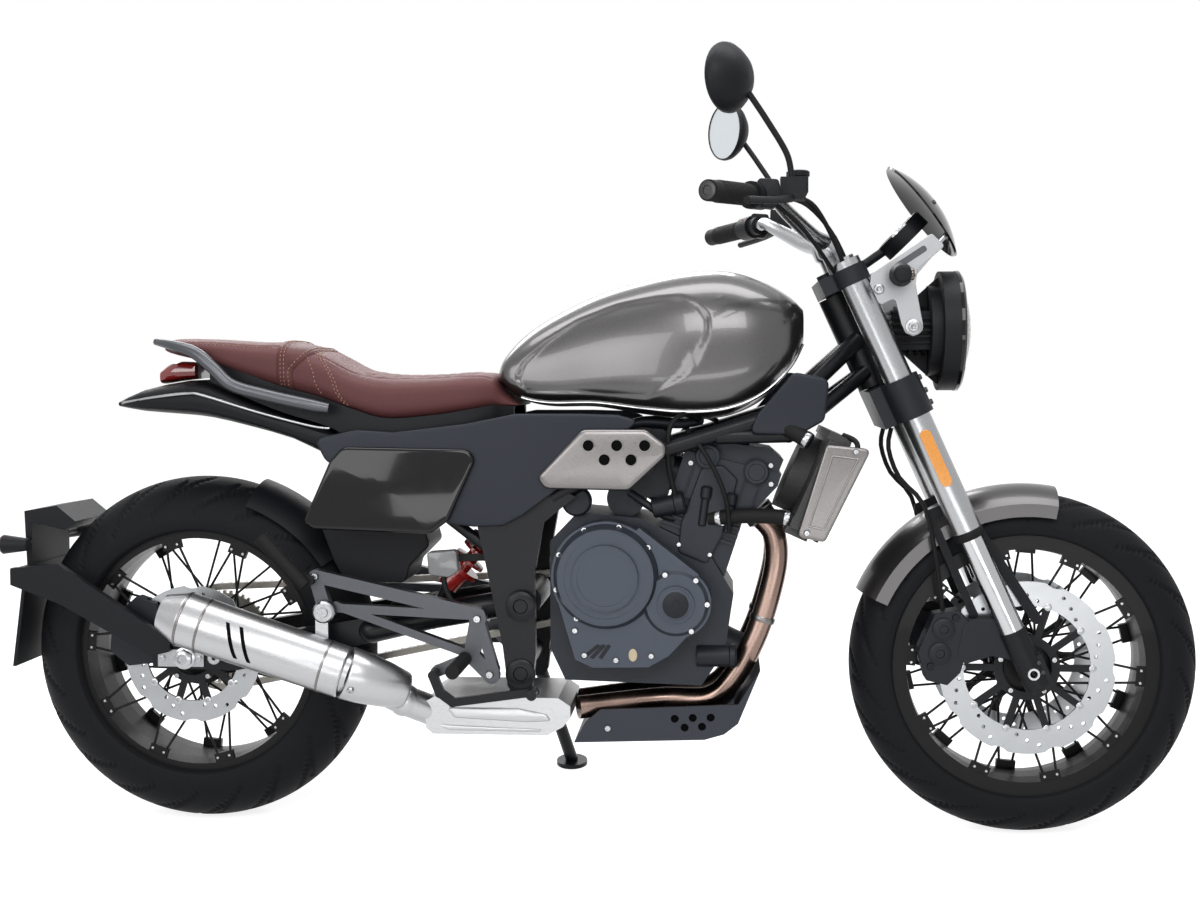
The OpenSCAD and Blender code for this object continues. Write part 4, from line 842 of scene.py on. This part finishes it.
rib_line = [(GRIP_R - 1, RIB_FROM - 1)]
for d in RIB_FROM + RIB_PITCH * np.arange(GRIP_RIBS):
    rib_line += [(GRIP_R + RIB_RISE, d), (GRIP_R + RIB_RISE, d + 3), (GRIP_R - RIB_SINK, d + 3.8),
                 (GRIP_R - RIB_SINK, d + 5.4)]
rib_line.append((GRIP_R - 1, 108))
piece("grip_ribs", both(turned(GRIP_IN, GRIP_OUT, rib_line, 40)), "rubber", "steering")
weight = turned(GRIP_OUT, 2 * GRIP_OUT - GRIP_IN, [(14, -1), (14, 1.5), (12, 2.5), (8, 2.5), (7, 0.5), (0, 0.5)])
piece("bar_ends", both(weight), "dark_bolt", "steering")

# ---- bright details and fasteners on the body; the clutch side is drawn on the left and mirrored to the right
COVER_Y, HANGER_Y = 150, 153.8
COVER_BOLTS = [(706, COVER_Y, 330), (760, COVER_Y, 322), (820, COVER_Y, 330), (690, COVER_Y, 372)]
COVER_BOLTS += on_circle(CLUTCH_X, CLUTCH_Z, 88, COVER_Y, range(35, 236, 40))
COVER_BOLTS += on_circle(CRANK_X, CRANK_Z, 53, 157, (-60, 0, 50, 110))
COVER_RINGS = [((CLUTCH_X, 170, CLUTCH_Z), [(79, 0), (79, 1.6), (70, 1.6), (70, 0.2)], 64),
               ((CLUTCH_X, 180, CLUTCH_Z), [(53, 0), (53, 1.5), (47, 1.5), (47, 0.1)], 64),
               ((CRANK_X, 165, CRANK_Z), [(27, 0), (27, 2), (22, 3), (0, 3)], 48)]
COVER_PLUG = [((CRANK_X, 168, CRANK_Z), [(22, 0), (22, 2.5), (20, 3.5), (0, 3.5)], 40),
              ((CRANK_X, 171, CRANK_Z), [(10, 0), (10, 3), (7, 3), (7, 1), (0, 1)], 6)]
SKID_HOLES = [(859, 214), (890, 216), (921, 217), (876, 199), (906, 201)]
PIVOT_CAP = [(26, 0), (26, 4), (23, 6), (13, 6), (11, 3), (0, 3)]
HANGER_BOLTS = [(522, 391), (543, 295), (256, 400), (240, 462), (450, 298)]
HANGER_BOSS = [(19, 0), (19, 8), (16, 11), (9, 11), (8, 14), (0, 14)]
piece("cover_bolts", mirror_y(bolt_set(COVER_BOLTS, LEFT, 5.2, 5)), "bolt", sharp=40)
piece("cover_rings", mirror_y(merge(*[stud(*ring) for ring in COVER_RINGS])), "engine_grey")
slots = [plate([(700 + i * 15, 326), (706 + i * 15, 323), (734 + i * 9, 346), (728 + i * 9, 349)], -151.2, -149)
         for i in range(3)]
piece("cover_ribs", merge(*slots), "engine_black", bevel=0.5)
oval = [(789 + 7.5 * math.cos(q), 331 + 11 * math.sin(q)) for q in np.arange(24) * math.pi / 12]
piece("sight_glass", plate(oval, -153, -149.5), "gold", bevel=1.0)
piece("cover_plug", mirror_y(merge(*[stud(*ring) for ring in COVER_PLUG])), "engine_black")
# Near-black discs on the skid plate paint the shade inside its holes
hole_shade_discs = [turned((x, 107.6, z), (x, 106.6, z), [(9, 0), (9, 1), (0, 1)], 28) for x, z in SKID_HOLES]
piece("skid_hole_shade_discs", both(*hole_shade_discs), "hole_shade")
piece("pivot_caps", both(*[stud(at, PIVOT_CAP, 40) for at in ((596, 145, 412), (594, 133.2, 293))]), "frame", sharp=35)
hanger_bolts = merge(both(bolt_set([(x, HANGER_Y, z) for x, z in HANGER_BOLTS], LEFT, 7, 6)),
                     mirror_y(stud((258, 162, 402), HANGER_BOSS)))
piece("hanger_bolts", hanger_bolts, "bolt", sharp=40)
trim_bolts = both(bolt_set([(1080, RADIATOR_TOP, 545), (1160, RADIATOR_TOP, 680)], LEFT, 5, 4),
                  bolt_set([(743, 114, 196)], LEFT, 6, 4))
piece("trim_bolts", trim_bolts, "bolt", sharp=40)

# ---- silencer trim on the right: sleeve, seams, slots painted as near-black shade strips, link shield, and beads on the collector box
CAN_FRONT, CAN_BACK = np.array((308, -191, 300.0)), np.array((-14, -201, 406.0))
CAN_AXIS = unit(CAN_BACK - CAN_FRONT)
CAN_SIDE = unit(np.cross(UP, CAN_AXIS))
CAN_UP = np.cross(CAN_AXIS, CAN_SIDE)
CAN_SLEEVE = [(34, 8), (42, 8.5), (44.3, 11), (44.6, 16), (47.5, 299), (46.2, 303)]
CAN_SEAMS = (44, 262, 298)
SLOT_AT, SLOT_PITCH, SLOT_SLANT, SLOT_HALF, SLOT_WRAP, SLOT_CELLS = 178, 24, 15, 3.4, 0.62, 8
SHIELD_BACK, SHIELD_FRONT = (303, -190, 302), (404, -150, 262)
SHIELD = [(34, -4), (44, -3), (45.5, 0), (44, 30), (39, 70), (32, 104), (29, 108), (26.5, 109)]
UPPER_BEAD = [(466, 236), (590, 236), (640, 226), (648, 214), (600, 212), (480, 218)]
LOWER_BEAD = [(452, 206), (560, 202), (632, 200), (628, 195), (470, 196)]


def can_r(dist):
    """Radius of the silencer at a distance from its front end."""
    return float(np.interp(dist, [8, 300, 339], [44.5, 47.6, 30]))


piece("can_sleeve", turned(CAN_FRONT, CAN_BACK, CAN_SLEEVE, 64), "can", sharp=35)
seams = [turned(CAN_FRONT + CAN_AXIS * d, CAN_BACK, [(can_r(d) + lift, at) for lift, at in
                ((-1, -3), (0.9, -1.5), (0.9, 1.5), (-1, 3))], 48) for d in CAN_SEAMS]
piece("can_seams", merge(*seams), "steel", sharp=40)
outlet = turned(CAN_BACK, CAN_BACK + CAN_AXIS, [(30, -1), (26, 1), (24, 1), (22, -14), (0, -14)], 40)
piece("can_outlet", outlet, "engine_black", sharp=40)
# The silencer's slots are not cut: near-black strips lifted off the sleeve paint the shade inside them
slots = []
for k in range(2):
    edge = []
    for q in np.linspace(-1, 1, SLOT_CELLS + 1):
        dist = SLOT_AT + k * SLOT_PITCH + q * SLOT_SLANT
        out = math.cos(q * SLOT_WRAP) * CAN_SIDE + math.sin(q * SLOT_WRAP) * CAN_UP
        edge += [CAN_FRONT + CAN_AXIS * (dist + w) + out * (can_r(dist) + 0.5) for w in (-SLOT_HALF, SLOT_HALF)]
    slots.append((edge, [(2 * i, 2 * i + 1, 2 * i + 3, 2 * i + 2) for i in range(SLOT_CELLS)]))
piece("can_slot_shade", merge(*slots), "hole_shade", sharp=0)
piece("link_shield", turned(SHIELD_BACK, SHIELD_FRONT, SHIELD, 56), "can", sharp=35)
piece("shield_bolt", bolt_set([(318, -228, 280)], (0.1, -1, -0.35), 6, 5), "bolt", sharp=40)
beads = merge(crowned(UPPER_BEAD, 145, 148.5, 150.5, r=9, edge=3), crowned(LOWER_BEAD, 145, 147.5, 149, r=3, edge=2))
piece("collector_beads", mirror_y(beads), "can")

# ---- fork: reflectors, seals, bolts, calipers
REFLECTOR_Z, REFLECTOR_R, REFLECTOR_HALF = 402, 10, 42
SEAL = [(21, 0), (24, 1), (26.5, 6), (26.5, 14), (25.2, 16)]
CALIPER_Y = 96
CALIPER_CAP = [(19, 0), (19, 4), (16, 6), (8, 6), (7, 4), (0, 4)]
CALIPER_ARM = [(1452, 316), (1430, 374), (1400, 392), (1366, 390), (1350, 376), (1340, 322), (1356, 312), (1400, 326)]
outline = []
for deg in range(0, 360, 15):
    x, z = REFLECTOR_R * math.cos(math.radians(deg)), REFLECTOR_R * math.sin(math.radians(deg))
    outline.append(fork_point(x, 0, REFLECTOR_Z + z + (REFLECTOR_HALF if deg < 180 else -REFLECTOR_HALF))[::2])
piece("fork_reflectors", both(plate(outline, 126, 131)), "amber", "steering", bevel=1.2)
seal = turned(fork_point(0, 102, 250), fork_point(0, 102, 262), SEAL)
piece("fork_seals", both(seal), "rubber", "steering", sharp=40)
yoke_bolts = both(bolt_set([fork_point(33, 96, z) for z in (490, 512, 536)], FORK_AHEAD, 5, 5),
                  bolt_set([fork_point(16, 117, z) for z in (-4, 14)], LEFT, 4, 3))
piece("yoke_bolts", yoke_bolts, "dark_bolt", "steering", sharp=40)
caps = [stud((x, CALIPER_Y, z), CALIPER_CAP) for x, z in ((1312, 330), (1318, 372))]
caps.append(bolt_set([(1338, CALIPER_Y, 392), (1296, CALIPER_Y, 308)], LEFT, 6, 5))
piece("caliper_caps", both(*caps), "engine_black", "steering", sharp=35)
piece("caliper_arms", both(plate(CALIPER_ARM, 85, 97)), "engine_black", "steering", bevel=2.0)

# ---- lamp bracket, finned lamp back, flyscreen
BRACKET = [(1189, 977), (1290, 1044), (1313, 1023), (1268, 985), (1264, 960), (1277, 892), (1273, 878), (1261, 871),
           (1248, 877), (1241, 892), (1230, 936), (1206, 924), (1188, 948)]
BRACKET_SLOT = [(1232, 982), (1284, 1016), (1278, 1025), (1226, 991)]
LAMP_PIVOT = [(14, 0), (14, 3), (11, 4), (9, 4), (8, 6), (4, 6), (3, 4), (0, 4)]
YOKE_PIVOT = [(9, 0), (9, 3), (7, 5), (4, 5), (3, 3), (0, 3)]
FIN_PITCH, FIN_THICK, FIN_R = 10.5, 4.4, 52
SCREEN_AT, SCREEN_R, SCREEN_WALL = np.array((1160, 0, 994.0)), 188, 4
SCREEN_TILT, SCREEN_REACH, SCREW_ANGLE = math.radians(52.6), math.radians(31.4), 0.36
SCREEN_AXIS = np.array((math.sin(SCREEN_TILT), 0, math.cos(SCREEN_TILT)))
bracket = both(plate(rounded(BRACKET, 7), 105.5, 114.8), stud((1261, 114.5, 887), LAMP_PIVOT),
               stud((1203, 114.5, 951), YOKE_PIVOT, 24))
piece("bracket_plates", bracket, "satin", "steering", bevel=1.2)
piece("bracket_insets", both(plate(rounded(BRACKET_SLOT, 5), 114, 115.2)), "hanger", "steering")
fins = [plate(rect(1236, 1316, 851, 915), -42, 42)]
for dz in FIN_PITCH * np.arange(-3, 4):
    half = math.sqrt(FIN_R ** 2 - dz ** 2)
    fins.append(plate(rect(1230, 1318, LAMP_Z - 2 + dz, LAMP_Z - 2 + dz + FIN_THICK), -half, half))
piece("lamp_fins", merge(*fins), "plastic", "steering", bevel=0.8)
sweep = np.linspace(0.004, SCREEN_REACH, 26)
dome = [(r * math.sin(t), r * math.cos(t))
        for r, angles in ((SCREEN_R, sweep), (SCREEN_R - SCREEN_WALL, sweep[::-1])) for t in angles]
screen = turned(SCREEN_AT, SCREEN_AT + SCREEN_AXIS, dome, 96)
piece("screen_shell", screen, "screen", "steering", ("flyscreen",), sharp=40)
screw_dir = math.cos(SCREW_ANGLE) * SCREEN_AXIS + math.sin(SCREW_ANGLE) * np.array(LEFT)
screw = bolt_set([SCREEN_AT + (SCREEN_R - 0.5) * screw_dir], screw_dir, 4.5, 3)
piece("screen_screws", both(screw), "dark_bolt", "steering", sharp=40)

# ---- headlamp inside, instrument face, mirrors
LAMP_BOWL = [(96, 0.6), (70, 1.2), (40, 2.0), (38, 5.0), (24, 6.0), (0, 7.0)]
LAMP_RIM = [(105, 0), (105.4, 5), (101, 9), (98.4, 7), (98.2, 2.4)]
DIAL_AT, DIAL_AXIS = np.array((1248, 0, 1058.0)), unit((-1, 0, 1))
DIAL_GLASS, DIAL_RING = [(41, 0.2), (40, 1.2), (0, 1.6)], [(46, 0), (46, 3), (42, 3.6), (41, 0.4)]
MIRROR_AT, MIRROR_YAW = (951, 280, 1278), math.radians(32)
MIRROR_HALF_W, MIRROR_HALF_H, MIRROR_EDGE, MIRROR_SIDES = 60, 56, 3, 40
MIRROR_SHELL = [(0.02, -34), (0.35, -31), (0.62, -23), (0.85, -11), (0.97, -2), (1.0, 4), (0.985, 9), (0.95, 11),
                (0.93, 8.6)]                            # share of the size, and distance behind the head's middle
MIRROR_STEM = [(1050, 254, 1123.4), (1042, 257, 1160), (1010, 266, 1212), (978, 274, 1258), (968, 277, 1268)]
piece("lamp_bowl", lamp_disc(1345.5, LAMP_BOWL, 64), "reflector", "steering")
piece("lamp_rim", lamp_disc(1344, LAMP_RIM, 96), "gloss", "steering", slot="black_plastic")
dial_glass, dial_ring = (turned(DIAL_AT, DIAL_AT + DIAL_AXIS, prof, 64) for prof in (DIAL_GLASS, DIAL_RING))
piece("dial_glass", dial_glass, "gloss", "steering")
piece("dial_ring", dial_ring, "chrome", "steering")


def mirror_oval(back, half_w, half_h):
    """Oval of the left mirror at a distance behind its middle."""
    oval = hoop((-back, 0, 0), (0, half_w, 0), (0, 0, half_h), 1, MIRROR_SIDES)
    return oval @ np.array(Matrix.Rotation(MIRROR_YAW, 3, "Z")).T + MIRROR_AT


shell = skin([mirror_oval(back, MIRROR_HALF_W * q, MIRROR_HALF_H * q) for q, back in MIRROR_SHELL])
piece("mirror_shells", both(shell, tube(MIRROR_STEM, 10, sides=14)), "plastic", "steering", ("mirrors",), sharp=50)
glass = (mirror_oval(8.8, MIRROR_HALF_W - MIRROR_EDGE, MIRROR_HALF_H - MIRROR_EDGE), [range(MIRROR_SIDES)[::-1]])
# the mirror faces glow faintly from their material: painted reflection
piece("mirror_faces", both(glass), "mirror", "steering", sharp=0)

# ---- indicators
rear_lens = turned((-322, 136, 512), (-323, 136, 512), [(17, 0), (15, 4), (8, 7), (0, 8)], 28)
piece("rear_indicator_lenses", both(rear_lens), "smoked")
front_lens = turned((1248, 160, 973), (1249, 160, 973), [(11, 0), (11, 5), (9, 8), (4, 10), (0, 10)], 24)
piece("front_indicator_lenses", both(front_lens), "smoked", "steering")
front_cap = stud((1236, 171, 973), [(15.5, 0), (15, 2), (11, 5), (0, 6)])
piece("front_indicator_caps", both(front_cap), "plastic", "steering")


# ---- stage: floor and world are white for the rays that see them and dim for those that light the machine
def shown(nt):
    """1 for the rays that see the backdrop: camera, glossy and transmission."""
    path = node(nt, "LightPath")
    total = path.outputs["Is Camera Ray"]
    for kind in ("Is Glossy Ray", "Is Transmission Ray"):
        most = node(nt, "Math")
        most.operation = "MAXIMUM"
        nt.links.new(total, most.inputs[0])
        nt.links.new(path.outputs[kind], most.inputs[1])
        total = most.outputs[0]
    return total


WHITE = (1, 1, 1, 1)
FLOOR_HALF, FADE_FROM, FADE_TO = 14, 1.6, 3.6           # metres; the floor fades to plain white with distance
FLOOR = dict(rough=0.8, scale=3, var=0.01)
floor_mat, nt, out = blank("floor")
near = shader(nt, (0.55, 0.55, 0.55), spec=0.0, **FLOOR)
near.inputs["Emission Color"].default_value = WHITE
near.inputs["Emission Strength"].default_value = 0.80
place, reach = node(nt, "TexCoord"), node(nt, "VectorMath")
reach.operation = "LENGTH"
fade = node(nt, "MapRange", From_Min=FADE_FROM, From_Max=FADE_TO)
nt.links.new(place.outputs["Object"], reach.inputs[0])
nt.links.new(reach.outputs["Value"], fade.inputs["Value"])
seen = blend(nt, fade.outputs["Result"], near, node(nt, "Emission"))
floor_shader = blend(nt, shown(nt), shader(nt, (0.22, 0.22, 0.22), **FLOOR), seen)
nt.links.new(floor_shader.outputs[0], out.inputs[0])
floor_mesh = bpy.data.meshes.new("floor")
floor_corners = [(x, y, 0) for x, y in rect(-FLOOR_HALF, FLOOR_HALF, -FLOOR_HALF, FLOOR_HALF)]
floor_mesh.from_pydata(floor_corners, [], [(0, 1, 2, 3)])
floor_mesh.materials.append(floor_mat)
floor = bpy.data.objects.new("floor", floor_mesh)
bpy.context.scene.collection.objects.link(floor)
world = bpy.data.worlds.new("studio")
bpy.context.scene.world = world
world.use_nodes = True
nt = world.node_tree
dim = nt.nodes["Background"]
dim.inputs["Color"].default_value = WHITE
dim.inputs["Strength"].default_value = 0.20
sky = blend(nt, shown(nt), dim, node(nt, "Background", Color=WHITE, Strength=1.0))
nt.links.new(sky.outputs[0], nt.nodes["World Output"].inputs[0])


# ---- light and camera
def area_lamp(name, at, look, size, power):
    lamp = bpy.data.lights.new(name, "AREA")
    lamp.shape = "RECTANGLE"
    lamp.size, lamp.size_y = size
    lamp.energy = power
    o = bpy.data.objects.new(name, lamp)
    o.location = at
    o.rotation_euler = (Vector(look) - Vector(at)).to_track_quat("-Z", "Y").to_euler()
    bpy.context.scene.collection.objects.link(o)


area_lamp("key", (0.5, -3.2, 3.4), (0.1, 0, 0.5), (2.4, 1.6), 85)
area_lamp("fill", (-1.9, -3.2, 1.9), (-0.2, 0, 0.5), (2.0, 1.6), 42)
area_lamp("top", (0, 0.3, 3.4), (0, 0, 0), (4.2, 1.2), 95)
area_lamp("rim", (-1.0, 3.4, 2.4), (0, 0, 0.7), (3.4, 1.2), 70)
area_lamp("low", (0.4, -3.6, 0.6), (0.1, 0, 0.45), (3.0, 0.5), 20)

# The camera was fitted to the wheels in the photograph, in the upright frame
CAMERA_AT, FOCAL_PX, PHOTO_W_PX, SENSOR_MM = (940.1, -2768.9, 813.3), 1551.6, 1200, 36
YAW, PITCH, ROLL = math.radians(4.51), math.radians(2.89), math.radians(-0.15)
ahead = np.array((-math.sin(YAW) * math.cos(PITCH), math.cos(YAW) * math.cos(PITCH), -math.sin(PITCH)))
right = unit(np.cross(ahead, UP))
above = np.cross(right, ahead)
axes = [math.cos(ROLL) * right + math.sin(ROLL) * above, math.cos(ROLL) * above - math.sin(ROLL) * right, -ahead]
pose = np.eye(4)
pose[:3] = np.column_stack([*row_dir(axes), row(CAMERA_AT)[0]])
cam = bpy.data.cameras.new("camera")
cam.lens = FOCAL_PX / PHOTO_W_PX * SENSOR_MM
cam.sensor_width = SENSOR_MM
camera = bpy.data.objects.new("camera", cam)
camera.matrix_world = Matrix(pose.tolist())
bpy.context.scene.collection.objects.link(camera)
bpy.context.scene.camera = camera
bpy.context.scene.view_settings.view_transform = "Standard"
